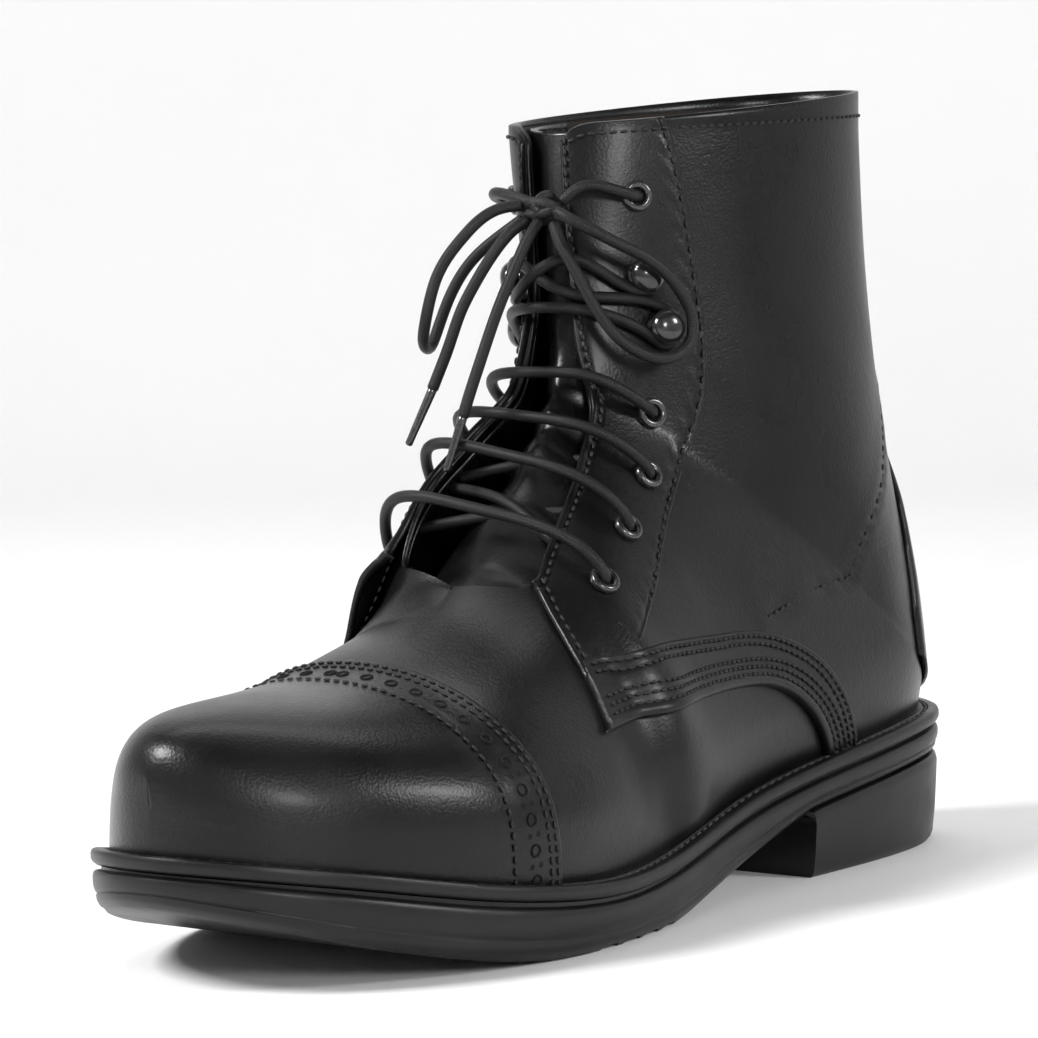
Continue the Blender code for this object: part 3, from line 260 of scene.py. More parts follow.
# Each section: its step, its ridge, where its foot or its place up the back lies, its half width,
# how far down it is widest, and how full it is above and below that
SECTIONS = (
    (0.00, TOE_X, seat_at(1.00) + 0.42 * TOE_RISE, 1.000, 0, 0, 0, 0.55, 2.20, 2.0),
    (0.05, 0.970 * L, seat_at(0.97) + 0.70 * TOE_RISE, 0.935, 0, 0, 0, 0.62, 2.30, 2.0),
    (0.10, 0.931 * L, seat_at(0.93) + 0.88 * TOE_RISE, 0.865, 0, 0, 0, 0.68, 2.35, 2.0),
    (0.16, 0.857 * L, seat_at(0.86) + 1.03 * TOE_RISE, 0.765, 0, 0, 0, 0.72, 2.30, 2.0),
    (0.22, 0.766 * L, seat_at(0.77) + 0.71 * THROAT_RISE, 0.664, 0, 0, 0, 0.74, 2.15, 2.0),
    (0.26, 0.727 * L, seat_at(0.73) + 0.80 * THROAT_RISE, 0.633, 0, 0, 0, 0.75, 2.08, 2.0),
    (0.31, 0.674 * L, seat_at(0.67) + 0.91 * THROAT_RISE, 0.592, 0, 0, 0, 0.76, 2.00, 2.0),
    (0.36, 0.633 * L, seat_at(0.63) + 1.00 * THROAT_RISE, 0.558, 0, 0, 0, 0.77, 1.95, 2.0),
    (0.42, 0.583 * L, up(0.314), 0.510, 0, 0, 0.80 * BALL, 0.78, 1.90, 2.0),
    (0.48, 0.537 * L, up(0.400), 0.450, 0, 0, 0.69 * BALL, 0.78, 1.90, 2.0),
    (0.53, 0.505 * L, up(0.455), 0.370, 0, 0, 0.98 * GIRTH, 0.78, 1.90, 2.0),
    (0.58, 0.483 * L, up(0.505), 0.270, 0, 0, 0.98 * GIRTH, 0.77, 1.90, 2.0),
    (0.62, 0.470 * L, up(0.540), 0.150, 0, 0, 0.98 * GIRTH, 0.74, 1.90, 2.0),
    (0.66, 0.460 * L, up(0.572), 0.000, WELT_REACH, SEAT_HEIGHT - TRIM, 0.97 * GIRTH, 0.70, 1.90, 2.05),
    (0.72, 0.451 * L, up(0.630), 0.000, 0.018 * L, up(0.150), 0.96 * GIRTH, 0.62, 1.95, 2.1),
    (0.79, 0.444 * L, up(0.710), 0.000, 0.034 * L, up(0.340), 0.98 * ANKLE, 0.56, 2.00, 2.1),
    (0.86, 0.439 * L, up(0.795), 0.000, 0.054 * L, up(0.560), 0.97 * ANKLE, 0.53, 2.00, 2.1),
    (0.93, 0.434 * L, up(0.880), 0.000, 0.067 * L, up(0.785), 0.98 * COLLAR, 0.51, 2.05, 2.15),
    (1.00, 0.428 * L, up(1.0) - COLLAR_DROP, 0.000, 0.070 * L, up(1.018), COLLAR, 0.50, 2.1, 2.2),
)
STEPS = column(SECTIONS, 0)
AT_HEEL = STEPS.index(HEEL_STEP)
RIDGE_X = spline(STEPS, column(SECTIONS, 1))
RIDGE_Z = spline(STEPS, column(SECTIONS, 2))
FOOT = spline(STEPS[: AT_HEEL + 1], column(SECTIONS, 3)[: AT_HEEL + 1])
BACK_X = spline(STEPS[AT_HEEL:], column(SECTIONS, 4)[AT_HEEL:])
BACK_Z = spline(STEPS[AT_HEEL:], column(SECTIONS, 5)[AT_HEEL:])
HALF = spline(STEPS, column(SECTIONS, 6))
CREST = spline(STEPS, column(SECTIONS, 7))
ABOVE = spline(STEPS, column(SECTIONS, 8))
BELOW = spline(STEPS, column(SECTIONS, 9))
CREST_SHARE = 0.55
SWELL = 1.02
SWELL_BLEND = 8
SWELL_SOFT = 0.034
OPENING = (
    (0.385, 0.00 * FACING_GAP),
    (0.400, 1.10 * FACING_GAP),
    (0.430, 1.50 * FACING_GAP),
    (0.470, 1.35 * FACING_GAP),
    (0.520, 1.13 * FACING_GAP),
    (0.560, 1.00 * FACING_GAP),
    (0.620, 0.88 * FACING_GAP),
    (0.700, 0.60 * FACING_GAP),
    (0.780, 0.50 * FACING_GAP),
    (1.000, 0.50 * FACING_GAP),
)
THROAT_STEP = OPENING[0][0]
OPENING_HALF = spline(column(OPENING, 0), column(OPENING, 1))
FLARE = (
    (0.340, 0.00),
    (0.395, 0.34),
    (0.440, 0.78),
    (0.490, 1.00),
    (0.550, 0.88),
    (0.620, 0.52),
    (0.700, 0.20),
    (0.780, 0.00),
)
FLARE_CURVE = spline(column(FLARE, 0), column(FLARE, 1))
FLARE_LEAN = 0.25
OUTER_STAND = 0.0050
LEAN_SPACE = 0.19
FLARE_FROM = 0.12
FLARE_TO = 0.56
MEET_STEP = 0.41
MEET_SHARE = 0.10

# Lines that a look from the side shows, as shares of the length and of the shaft
FACING_FRONT = ((0.586, 0.270), (0.608, 0.165))
STRAP_TOP = (
    (0.608, 0.166), (0.524, 0.181), (0.428, 0.180), (0.362, 0.174),
    (0.314, 0.150), (0.270, 0.106), (0.239, 0.042), (0.216, -0.034),
)
STRAP_LOWER = (
    (0.620, 0.072), (0.517, 0.090), (0.414, 0.097), (0.352, 0.084),
    (0.303, 0.036), (0.269, -0.042), (0.262, -0.072),
)
PANEL_SEAM = (
    (0.552, 0.179), (0.483, 0.262), (0.420, 0.368), (0.363, 0.484),
    (0.347, 0.613), (0.350, 0.742), (0.360, 0.900), (0.368, 0.975),
)

# The counter seam as steps and shares
COUNTER_SEAM = (
    (0.840, 0.815), (0.794, 0.725), (0.764, 0.667), (0.720, 0.577),
    (0.679, 0.508), (0.625, 0.462), (0.560, 0.445),
)
CAP_STEP = 0.25
CAP_FRONT_STEP = 0.208
SPUR_REST_RISE = 0.268
LACING = (
    ("eyelet_top", 0.395, 0.845, "eyelet"),
    ("hook_upper", 0.396, 0.722, "hook"),
    ("hook_lower", 0.387, 0.640, "hook"),
    ("eyelet_a", 0.403, 0.511, "eyelet"),
    ("eyelet_b", 0.433, 0.416, "eyelet"),
    ("eyelet_c", 0.484, 0.342, "eyelet"),
    ("eyelet_d", 0.543, 0.271, "eyelet"),
)
BY_NAME = {entry[0]: entry for entry in LACING}
SIDES = (("inner", 1), ("outer", -1))

# Creases: side, ends seen from the side, depth (troughs below zero) and half width
CREASES = (
    (1, 0.575, 0.150, 0.548, -0.060, 0.0009, 0.0062),
    (1, 0.600, 0.100, 0.580, -0.080, -0.0007, 0.0050),
    (1, 0.528, 0.070, 0.512, -0.070, -0.0005, 0.0052),
    (-1, 0.580, 0.150, 0.552, -0.060, 0.0007, 0.0062),
    (-1, 0.602, 0.100, 0.582, -0.080, -0.0006, 0.0050),
    (1, 0.395, 0.560, 0.300, 0.500, -0.0003, 0.0085),
    (-1, 0.395, 0.560, 0.240, 0.430, -0.0005, 0.0095),
    (1, 0.440, 0.250, 0.350, 0.235, -0.0004, 0.0080),
    (-1, 0.440, 0.260, 0.330, 0.250, -0.0004, 0.0080),
    (-1, 0.330, 0.820, 0.170, 0.730, -0.0005, 0.0120),
)


def sway(z, forward):
    """Sideways set of the shaft at height z. forward is 1 at its front and 0 at its back."""
    rise = np.clip((z - up(0.035)) / (up(0.74) - up(0.035)), 0, 1.3)
    return -rise * (BACK_SWAY + (FRONT_SWAY - BACK_SWAY) * forward)


def half_width(step, foot_y):
    """Half width of a section at its widest place."""
    own = np.clip(HALF(step), 0, None)
    return ((SWELL * foot_y) ** SWELL_BLEND + own**SWELL_BLEND) ** (1 / SWELL_BLEND) + 1e-9


def soft_halves(side):
    """Half widths of the sections, evened out along the steps round the heel."""
    steps = np.linspace(0, 1, 801)
    foot_y = np.abs(outline(np.clip(FOOT(steps), 0, 1), side, WELT_REACH)[1])
    foot_y = np.where(steps >= HEEL_STEP, 0.0, foot_y)
    sharp = half_width(steps, foot_y)
    spread = np.exp(-0.5 * ((steps[:, None] - steps[None, :]) / SWELL_SOFT) ** 2)
    even = spread @ sharp / spread.sum(1)
    ease = np.clip((steps - 0.40) / 0.08, 0, 1) * np.clip((1 - steps) / 0.10, 0, 1)
    return sharp + (even - sharp) * ease


HALVES = {side: soft_halves(side) for side in (1, -1)}


def half_at(step, side, foot_y):
    """Half width of a section, never less than the foot needs."""
    return np.maximum(np.interp(step, np.linspace(0, 1, 801), HALVES[side]), SWELL * foot_y)


def section(step, side, share):
    """Point of the upper's outside. share runs from 0 at the ridge to 1 at the foot or back."""
    step, share = np.broadcast_arrays(np.asarray(step, float), np.asarray(share, float))
    foot_x, foot_y = outline(np.clip(FOOT(step), 0, 1), side, WELT_REACH)
    on_back = step >= HEEL_STEP
    foot_y = np.where(on_back, 0.0, np.abs(foot_y))
    foot_z = np.where(on_back, BACK_Z(step), seat_height(foot_x) - TRIM)
    foot_x = np.where(on_back, BACK_X(step), foot_x)
    half = half_at(step, side, foot_y)
    crest = CREST(step)
    above = ABOVE(step)
    below = BELOW(step)
    first = np.clip(share / CREST_SHARE, 0, 1) * math.pi / 2
    down_first = crest * (1 - np.abs(np.cos(first)) ** (2 / above))
    out_first = np.sin(first) ** (2 / above)
    tuck = np.clip(foot_y / half, 0, 1 / SWELL)
    deepest = (1 - tuck**below) ** (1 / below)
    last_angle = np.arcsin(np.clip(deepest ** (below / 2), 0, 1))
    second = np.clip((share - CREST_SHARE) / (1 - CREST_SHARE), 0, 1) * last_angle
    down_second = crest + (1 - crest) * np.sin(second) ** (2 / below) / np.maximum(deepest, 1e-9)
    out_second = np.abs(np.cos(second)) ** (2 / below)
    upper_part = share <= CREST_SHARE
    down = np.where(upper_part, down_first, down_second)
    out = np.where(upper_part, out_first, out_second)
    x = RIDGE_X(step) + (foot_x - RIDGE_X(step)) * down
    z = RIDGE_Z(step) + (foot_z - RIDGE_Z(step)) * down
    return np.stack([x, side * half * out + sway(z, 1 - down), z], -1)


def unit(vectors):
    return vectors / np.maximum(np.linalg.norm(vectors, axis=-1, keepdims=True), 1e-12)


def normals(step, side, share):
    """Outward normals. Where the two sides meet they are the same for both."""
    step, share = np.broadcast_arrays(np.asarray(step, float), np.asarray(share, float))
    near_step = np.clip(step, 0.004, 0.996)
    level_toe = np.clip(step / 0.04, 0, 1)
    on_ridge = share <= 0
    on_back = (share >= 1) & (step >= HEEL_STEP)
    near_share = np.where(on_ridge | on_back, share, np.clip(share, 0.02, 0.98))
    before = np.where((share >= 1) & (near_step < HEEL_STEP + 0.004), near_step, near_step - 0.004)
    along = section(near_step + 0.004, side, near_share) - section(before, side, near_share)
    across = section(near_step, side, near_share + 0.02) - section(near_step, side, near_share - 0.02)
    level = np.array([0.0, side, 0.0])
    across = np.where(on_ridge[..., None], level, np.where(on_back[..., None], -level, across))
    out = np.cross(across, along) * side
    out[..., 1] *= level_toe
    return unit(out)


def flare(step, side, share):
    """How far the upper's outside stands off the foot here. Only the outer facing does."""
    step, share = np.broadcast_arrays(np.asarray(step, float), np.asarray(share, float))
    if side > 0:
        return np.zeros(step.shape)
    fade = np.clip((FLARE_TO - share) / (FLARE_TO - FLARE_FROM), 0.0, 1.0)
    inside = (step > FLARE[0][0]) & (step < FLARE[-1][0])
    closed = np.clip((MEET_STEP - step) / (MEET_STEP - THROAT_STEP), 0.0, 1.0)
    apart = 1 - closed * (1 - np.clip(share / MEET_SHARE, 0.0, 1.0))
    return np.where(inside, OUTER_FLARE * np.clip(FLARE_CURVE(step), 0, None) * fade**2 * apart, 0.0)


def creases(points, side):
    """Height of the listed creases at these points of the form."""
    total = np.zeros(points.shape[:-1])
    for for_side, along_a, up_a, along_b, up_b, depth, width in CREASES:
        if for_side != side:
            continue
        start = np.array([along_a * L, up(up_a)])
        run = np.array([along_b * L, up(up_b)]) - start
        place = points[..., [0, 2]] - start
        share = np.clip(place @ run / (run @ run), -0.2, 1.2)
        away = np.linalg.norm(place - share[..., None] * run, axis=-1)
        fade = np.clip(1 - np.abs(2 * share - 1) ** 2.5, 0, 1)
        total = total + depth * fade * bell(away, 0.0, width)
    return total


def lifted(step, side, share, lift):
    """Point of the foot's form lifted along its normal."""
    lift = np.broadcast_to(np.asarray(lift, float), np.broadcast(step, share).shape)
    return section(step, side, share) + normals(step, side, share) * lift[..., None]


def skin(step, side, share, lift=0.0):
    """Point of the upper's outside, with its stand-off and creases, lifted along its normal."""
    stand = flare(step, side, share)
    lean = np.minimum(stand / (FLARE_LEAN * OUTER_FLARE), 1.0)
    bare = section(step, side, share)
    return lifted(step, side, share, stand + creases(bare, side) + lift * (1 + LEAN_SPACE * lean))


def share_at(step, side, width):
    """Share of a section, from its ridge, at which it is this far out."""
    foot_y = np.abs(outline(np.clip(FOOT(step), 0, 1), side, WELT_REACH)[1])
    half = half_at(step, side, np.where(np.asarray(step) >= HEEL_STEP, 0.0, foot_y))
    reach = np.clip(width / half, 0.0, 1.0) ** (ABOVE(step) / 2)
    return CREST_SHARE * 2 / math.pi * np.arcsin(reach)


def opening_share(step, side):
    """Where a section starts beside the lacing."""
    width = np.where(np.asarray(step) > THROAT_STEP, OPENING_HALF(step), 0.0)
    return share_at(step, side, np.clip(width, 0, None))


def on_side(x, z, side):
    """Steps and shares of the places that a look straight from the side shows at x and z."""
    x, z = np.broadcast_arrays(np.asarray(x, float), np.asarray(z, float))
    shape = x.shape
    target = np.stack([x.ravel(), z.ravel()], -1)
    steps, shares = np.meshgrid(np.linspace(0.02, 0.99, 78), np.linspace(0.04, 0.97, 40), indexing="ij")
    grid = section(steps, side, shares)[..., [0, 2]].reshape(-1, 2)
    place = np.empty((len(target), 2))
    for start in range(0, len(target), 2000):
        part = target[start : start + 2000]
        away = ((part[:, None, :] - grid[None]) ** 2).sum(-1)
        best = away.argmin(1)
        place[start : start + 2000, 0] = steps.ravel()[best]
        place[start : start + 2000, 1] = shares.ravel()[best]
    small = 1e-4
    for _ in range(12):
        here = section(place[:, 0], side, place[:, 1])[:, [0, 2]]
        by_step = (section(place[:, 0] + small, side, place[:, 1])[:, [0, 2]] - here) / small
        by_share = (section(place[:, 0], side, place[:, 1] + small)[:, [0, 2]] - here) / small
        miss = target - here
        span = by_step[:, 0] * by_share[:, 1] - by_step[:, 1] * by_share[:, 0]
        span = np.where(np.abs(span) < 1e-9, 1e-9, span)
        move_step = (miss[:, 0] * by_share[:, 1] - miss[:, 1] * by_share[:, 0]) / span
        move_share = (by_step[:, 0] * miss[:, 1] - by_step[:, 1] * miss[:, 0]) / span
        move = np.clip(np.stack([move_step, move_share], -1), -0.03, 0.03)
        place = np.clip(place + move, 0.001, 0.999)
    return place[:, 0].reshape(shape), place[:, 1].reshape(shape)


def side_line(table, count):
    """Smooth line through these side view places, as x and z spaced by length."""
    points = np.array([(along * L, up(rise)) for along, rise in table])
    length = np.concatenate([[0], np.cumsum(np.linalg.norm(np.diff(points, axis=0), axis=1))])
    even = np.linspace(0, length[-1], count)
    return spline(length, points[:, 0])(even), spline(length, points[:, 1])(even)


def to_frame(points):
    return np.asarray(points, float) - np.array([ORIGIN_X, 0.0, 0.0])


# Meshes
SCRAP = []


def new_object(name, mesh, finish=None):
    obj = bpy.data.objects.new(name, mesh)
    bpy.context.scene.collection.objects.link(obj)
    if finish:
        mesh.materials.append(finish)
    return obj


def mesh_of(name, points, faces, smooth_angle=50):
    """Mesh of these points and faces, with doubles merged and smooth shading."""
    mesh = bpy.data.meshes.new(name)
    mesh.from_pydata(to_frame(points).tolist(), [], faces)
    work = bmesh.new()
    work.from_mesh(mesh)
    bmesh.ops.remove_doubles(work, verts=work.verts, dist=0.004 * MM)
    bmesh.ops.dissolve_degenerate(work, edges=work.edges, dist=0.002 * MM)
    work.to_mesh(mesh)
    work.free()
    mesh.shade_smooth()
    mesh.set_sharp_from_angle(angle=math.radians(smooth_angle))
    return mesh


def grid_faces(rows, columns, start=0, flip=False):
    faces = []
    for i in range(rows - 1):
        for j in range(columns - 1):
            a = start + i * columns + j
            quad = (a, a + 1, a + columns + 1, a + columns)
            faces.append(quad[::-1] if flip else quad)
    return faces


def sheets(name, grids, finish, thickness=0.0, smooth_angle=50):
    """Leather of one or more grids, each with its side, given a wall on its inner side."""
    points = []
    faces = []
    for side, grid in grids:
        rows, columns = grid.shape[:2]
        faces += grid_faces(rows, columns, len(points), side < 0)
        points += list(grid.reshape(-1, 3))
    mesh = mesh_of(name, points, faces, smooth_angle)
    obj = new_object(name, mesh, finish)
    if thickness:
        wall = obj.modifiers.new("wall", "SOLIDIFY")
        wall.thickness = thickness
        wall.offset = -1.0
        apply_modifiers(obj)
    return obj


def apply_modifiers(obj):
    """Turns the object and its modifiers into one plain mesh."""
    bpy.context.view_layer.update()
    graph = bpy.context.evaluated_depsgraph_get()
    mesh = bpy.data.meshes.new_from_object(obj.evaluated_get(graph))
    obj.modifiers.clear()
    obj.data = mesh
    return obj


def edge_spaced(count, length, edge=EDGE_ROLL):
    """Shares of a width, fine near both edges, where the leather rolls over."""
    fine = np.array([0.0, 0.12, 0.3, 0.55, 0.8, 1.0]) * edge / length
    middle = np.linspace(1.4 * edge / length, 1 - 1.4 * edge / length, count)
    return np.concatenate([fine, middle, 1 - fine[::-1]])


def bell(distance, middle, width):
    """Rounded ridge of height 1 at a distance."""
    return np.exp(-(((distance - middle) / width) ** 2))


def rolled(distance, height, radius=EDGE_ROLL):
    """Height of a layer this far from its edge, which is rolled over."""
    inside = np.clip(distance / radius, 0, 1)
    return height * np.sqrt(np.clip(1 - (1 - inside) ** 2, 0, 1))


# Materials
def node_group(name, inputs, outputs):
    """Shader node group with its sockets and its two end nodes."""
    group = bpy.data.node_groups.new(name, "ShaderNodeTree")
    for socket, kind, value in inputs:
        made = group.interface.new_socket(socket, in_out="INPUT", socket_type=kind)
        if value is not None:
            made.default_value = value
    for socket, kind in outputs:
        group.interface.new_socket(socket, in_out="OUTPUT", socket_type=kind)
    return group, group.nodes.new("NodeGroupInput"), group.nodes.new("NodeGroupOutput")


def math_node(nodes, links, operation, first, second=None, third=None):
    made = nodes.new("ShaderNodeMath")
    made.operation = operation
    for index, value in enumerate((first, second, third)):
        if value is None:
            continue
        if isinstance(value, (int, float)):
            made.inputs[index].default_value = value
        else:
            links.new(value, made.inputs[index])
    return made.outputs[0]


def map_range(nodes, links, value, low, high, to_low, to_high):
    made = nodes.new("ShaderNodeMapRange")
    links.new(value, made.inputs["Value"])
    for socket, number in (("From Min", low), ("From Max", high), ("To Min", to_low), ("To Max", to_high)):
        made.inputs[socket].default_value = number
    return made.outputs["Result"]


def noise_node(nodes, links, vector, scale, detail=2.0, roughness=0.5):
    made = nodes.new("ShaderNodeTexNoise")
    links.new(vector, made.inputs["Vector"])
    if isinstance(scale, (int, float)):
        made.inputs["Scale"].default_value = scale
    else:
        links.new(scale, made.inputs["Scale"])
    made.inputs["Detail"].default_value = detail
    made.inputs["Roughness"].default_value = roughness
    return made.outputs["Fac"]


def grain_group():
    """Fine pebble of smooth leather: small cells broken up by noise, as a height."""
    group, start, end = node_group(
        "leather_grain",
        (("Vector", "NodeSocketVector", None), ("Cells", "NodeSocketFloat", 1500.0)),
        (("Height", "NodeSocketFloat"),),
    )
    nodes, links = group.nodes, group.links
    cells = nodes.new("ShaderNodeTexVoronoi")
    cells.feature = "SMOOTH_F1"
    cells.inputs["Smoothness"].default_value = 0.6
    links.new(start.outputs["Vector"], cells.inputs["Vector"])
    links.new(start.outputs["Cells"], cells.inputs["Scale"])
    fine = noise_node(nodes, links, start.outputs["Vector"], 3800.0, 2.0)
    broad = noise_node(nodes, links, start.outputs["Vector"], 420.0, 3.0)
    pebble = math_node(nodes, links, "MULTIPLY", cells.outputs["Distance"], 0.7)
    total = math_node(nodes, links, "MULTIPLY_ADD", fine, 0.35, pebble)
    total = math_node(nodes, links, "MULTIPLY_ADD", broad, 0.9, total)
    links.new(total, end.inputs["Height"])
    return group


def polish_group():
    """Uneven polish: broad soft patches and a few fine rubbed marks, as a mask."""
    group, start, end = node_group(
        "uneven_polish",
        (("Vector", "NodeSocketVector", None), ("Patch", "NodeSocketFloat", 28.0)),
        (("Mask", "NodeSocketFloat"), ("Marks", "NodeSocketFloat")),
    )
    nodes, links = group.nodes, group.links
    patch = noise_node(nodes, links, start.outputs["Vector"], start.outputs["Patch"], 3.0)
    stretched = nodes.new("ShaderNodeMapping")
    stretched.inputs["Scale"].default_value = (1.0, 1.0, 0.18)
    stretched.inputs["Rotation"].default_value = (0.5, 0.9, 0.2)
    links.new(start.outputs["Vector"], stretched.inputs["Vector"])
    marks = noise_node(nodes, links, stretched.outputs["Vector"], 620.0, 4.0, 0.62)
    links.new(map_range(nodes, links, patch, 0.35, 0.68, 0.0, 1.0), end.inputs["Mask"])
    links.new(map_range(nodes, links, marks, 0.60, 0.74, 0.0, 1.0), end.inputs["Marks"])
    return group


def braid_group():
    """Round braid of a lace on its own UV map: crossing yarns, as a height."""
    group, start, end = node_group(
        "braid",
        (
            ("Vector", "NodeSocketVector", None), ("Around", "NodeSocketFloat", 6.0),
            ("Along", "NodeSocketFloat", 620.0),
        ),
        (("Height", "NodeSocketFloat"),),
    )
    nodes, links = group.nodes, group.links
    split = nodes.new("ShaderNodeSeparateXYZ")
    links.new(start.outputs["Vector"], split.inputs[0])
    around = math_node(nodes, links, "MULTIPLY", split.outputs["X"], start.outputs["Around"])
    along = math_node(nodes, links, "MULTIPLY", split.outputs["Y"], start.outputs["Along"])
    waves = []
    for sign in (1.0, -1.0):
        slanted = math_node(nodes, links, "MULTIPLY_ADD", along, sign, around)
        angle = math_node(nodes, links, "MULTIPLY", slanted, 2 * math.pi)
        wave = math_node(nodes, links, "SINE", angle)
        waves.append(math_node(nodes, links, "ABSOLUTE", wave))
    links.new(math_node(nodes, links, "MAXIMUM", waves[0], waves[1]), end.inputs["Height"])
    return group


GRAIN = grain_group()
POLISH = polish_group()
BRAID = braid_group()


def add_bump(nodes, links, shader, height, strength, distance):
    """Fine relief of the surface from a height."""
    relief = nodes.new("ShaderNodeBump")
    relief.inputs["Strength"].default_value = strength
    relief.inputs["Distance"].default_value = distance
    links.new(height, relief.inputs["Height"])
    links.new(relief.outputs["Normal"], shader.inputs["Normal"])


def lighter(colour, times):
    return tuple(times * value for value in colour)


def base_material(name):
    made = bpy.data.materials.new(name)
    made.use_nodes = True
    nodes = made.node_tree.nodes
    return made, nodes, made.node_tree.links, nodes["Principled BSDF"]


def mixed_colour(nodes, links, mask, first, second):
    mix = nodes.new("ShaderNodeMix")
    mix.data_type = "RGBA"
    links.new(mask, mix.inputs["Factor"])
    mix.inputs["A"].default_value = (*first, 1.0)
    mix.inputs["B"].default_value = (*second, 1.0)
    return mix.outputs["Result"]


def leather(name, dark, light, smooth, rough, cells=1500.0, bump=0.34, coat=0.10, coat_rough=0.22):
    """Leather with a fine grain, uneven polish and a thin coat of polish."""
    made, nodes, links, shader = base_material(name)
    place = nodes.new("ShaderNodeTexCoord").outputs["Object"]
    polish = nodes.new("ShaderNodeGroup")
    polish.node_tree = POLISH
    links.new(place, polish.inputs["Vector"])
    grain = nodes.new("ShaderNodeGroup")
    grain.node_tree = GRAIN
    grain.inputs["Cells"].default_value = cells
    links.new(place, grain.inputs["Vector"])
    links.new(mixed_colour(nodes, links, polish.outputs["Mask"], dark, light), shader.inputs["Base Color"])
    rubbed = math_node(nodes, links, "MULTIPLY_ADD", polish.outputs["Marks"], 0.10, 0.0)
    spread = map_range(nodes, links, polish.outputs["Mask"], 0.0, 1.0, smooth, rough)
    links.new(math_node(nodes, links, "ADD", spread, rubbed), shader.inputs["Roughness"])
    add_bump(nodes, links, shader, grain.outputs["Height"], bump, 0.00022)
    shader.inputs["Specular IOR Level"].default_value = 0.22
    shader.inputs["Coat Weight"].default_value = coat
    shader.inputs["Coat Roughness"].default_value = coat_rough
    return made


def rubber(name, colour, roughness):
    """Satin rubber with a little dust."""
    made, nodes, links, shader = base_material(name)
    place = nodes.new("ShaderNodeTexCoord").outputs["Object"]
    dust = noise_node(nodes, links, place, 42.0, 5.0, 0.6)
    mask = map_range(nodes, links, dust, 0.42, 0.75, 0.0, 1.0)
    links.new(mixed_colour(nodes, links, mask, colour, lighter(colour, 2.1)), shader.inputs["Base Color"])
    spread = map_range(nodes, links, mask, 0.0, 1.0, roughness, roughness + 0.16)
    links.new(spread, shader.inputs["Roughness"])
    shader.inputs["Specular IOR Level"].default_value = 0.28
    add_bump(nodes, links, shader, noise_node(nodes, links, place, 1900.0, 3.0), 0.14, 0.0002)
    return made


def enamel(name, colour, roughness, metallic):
    """Glossy enamel, a little worn."""
    made, nodes, links, shader = base_material(name)
    place = nodes.new("ShaderNodeTexCoord").outputs["Object"]
    worn = noise_node(nodes, links, place, 700.0, 3.0)
    spread = map_range(nodes, links, worn, 0.3, 0.75, roughness, roughness + 0.14)
    links.new(spread, shader.inputs["Roughness"])
    links.new(mixed_colour(nodes, links, worn, colour, lighter(colour, 1.6)), shader.inputs["Base Color"])
    shader.inputs["Metallic"].default_value = metallic
    shader.inputs["Coat Weight"].default_value = 0.6
    shader.inputs["Coat Roughness"].default_value = 0.08
    return made


def corded(name, colour, along, roughness, bump):
    """Braided or twisted cord on its UV map, darker in the grooves between the yarns as painted shade."""
    made, nodes, links, shader = base_material(name)
    place = nodes.new("ShaderNodeUVMap")
    place.uv_map = "UVMap"
    braid = nodes.new("ShaderNodeGroup")
    braid.node_tree = BRAID
    braid.inputs["Along"].default_value = along
    links.new(place.outputs["UV"], braid.inputs["Vector"])
    height = braid.outputs["Height"]
    # Base colour darker where the braid is low: painted shade in the grooves between the yarns.
    links.new(mixed_colour(nodes, links, height, colour, lighter(colour, 2.4)), shader.inputs["Base Color"])
    spread = map_range(nodes, links, height, 0.0, 1.0, roughness + 0.2, roughness)
    links.new(spread, shader.inputs["Roughness"])
    shader.inputs["Specular IOR Level"].default_value = 0.25
    add_bump(nodes, links, shader, height, bump, 0.00025)
    return made


def thread(name, colour, roughness):
    """Dull thread, a little fuzzy."""
    made, nodes, links, shader = base_material(name)
    place = nodes.new("ShaderNodeTexCoord").outputs["Object"]
    fuzz = noise_node(nodes, links, place, 5200.0, 2.0)
    links.new(mixed_colour(nodes, links, fuzz, colour, lighter(colour, 1.7)), shader.inputs["Base Color"])
    shader.inputs["Roughness"].default_value = roughness
    shader.inputs["Specular IOR Level"].default_value = 0.25
    add_bump(nodes, links, shader, fuzz, 0.3, 0.0001)
    return made


UPPER_LEATHER = leather("black_leather", (0.0022, 0.0022, 0.0025), (0.0045, 0.0045, 0.005), 0.27, 0.38)
STRAP_LEATHER = leather(
    "strap_leather", (0.0025, 0.0025, 0.0027), (0.005, 0.005, 0.0055), 0.33, 0.44, bump=0.3
)
TONGUE_FINISH = leather(
    "tongue_leather", (0.002, 0.002, 0.0023), (0.004, 0.004, 0.0045), 0.22, 0.34,
    cells=1100.0, bump=0.22, coat=0.25,
)
LINING = leather(
    "brown_lining", (0.010, 0.0075, 0.006), (0.018, 0.013, 0.010), 0.55, 0.70, cells=900.0, bump=0.3, coat=0.0
)
INSOLE_FINISH = leather(
    "insole_leather", (0.030, 0.020, 0.014), (0.048, 0.034, 0.024), 0.55, 0.72,
    cells=800.0, bump=0.3, coat=0.0,
)
RUBBER = rubber("black_rubber", (0.0045, 0.0045, 0.005), 0.36)
ENAMEL = enamel("black_enamel", (0.012, 0.012, 0.013), 0.14, 0.35)
EYELET_ENAMEL = enamel("eyelet_enamel", (0.035, 0.035, 0.037), 0.20, 0.75)
LACE_FINISH = corded("waxed_lace", (0.003, 0.003, 0.0033), 620.0, 0.36, 0.55)
AGLET_FINISH = enamel("lace_tip", (0.008, 0.008, 0.009), 0.22, 0.0)
THREAD = thread("black_thread", (0.010, 0.010, 0.011), 0.55)
WELT_THREAD = thread("grey_thread", (0.050, 0.048, 0.045), 0.6)
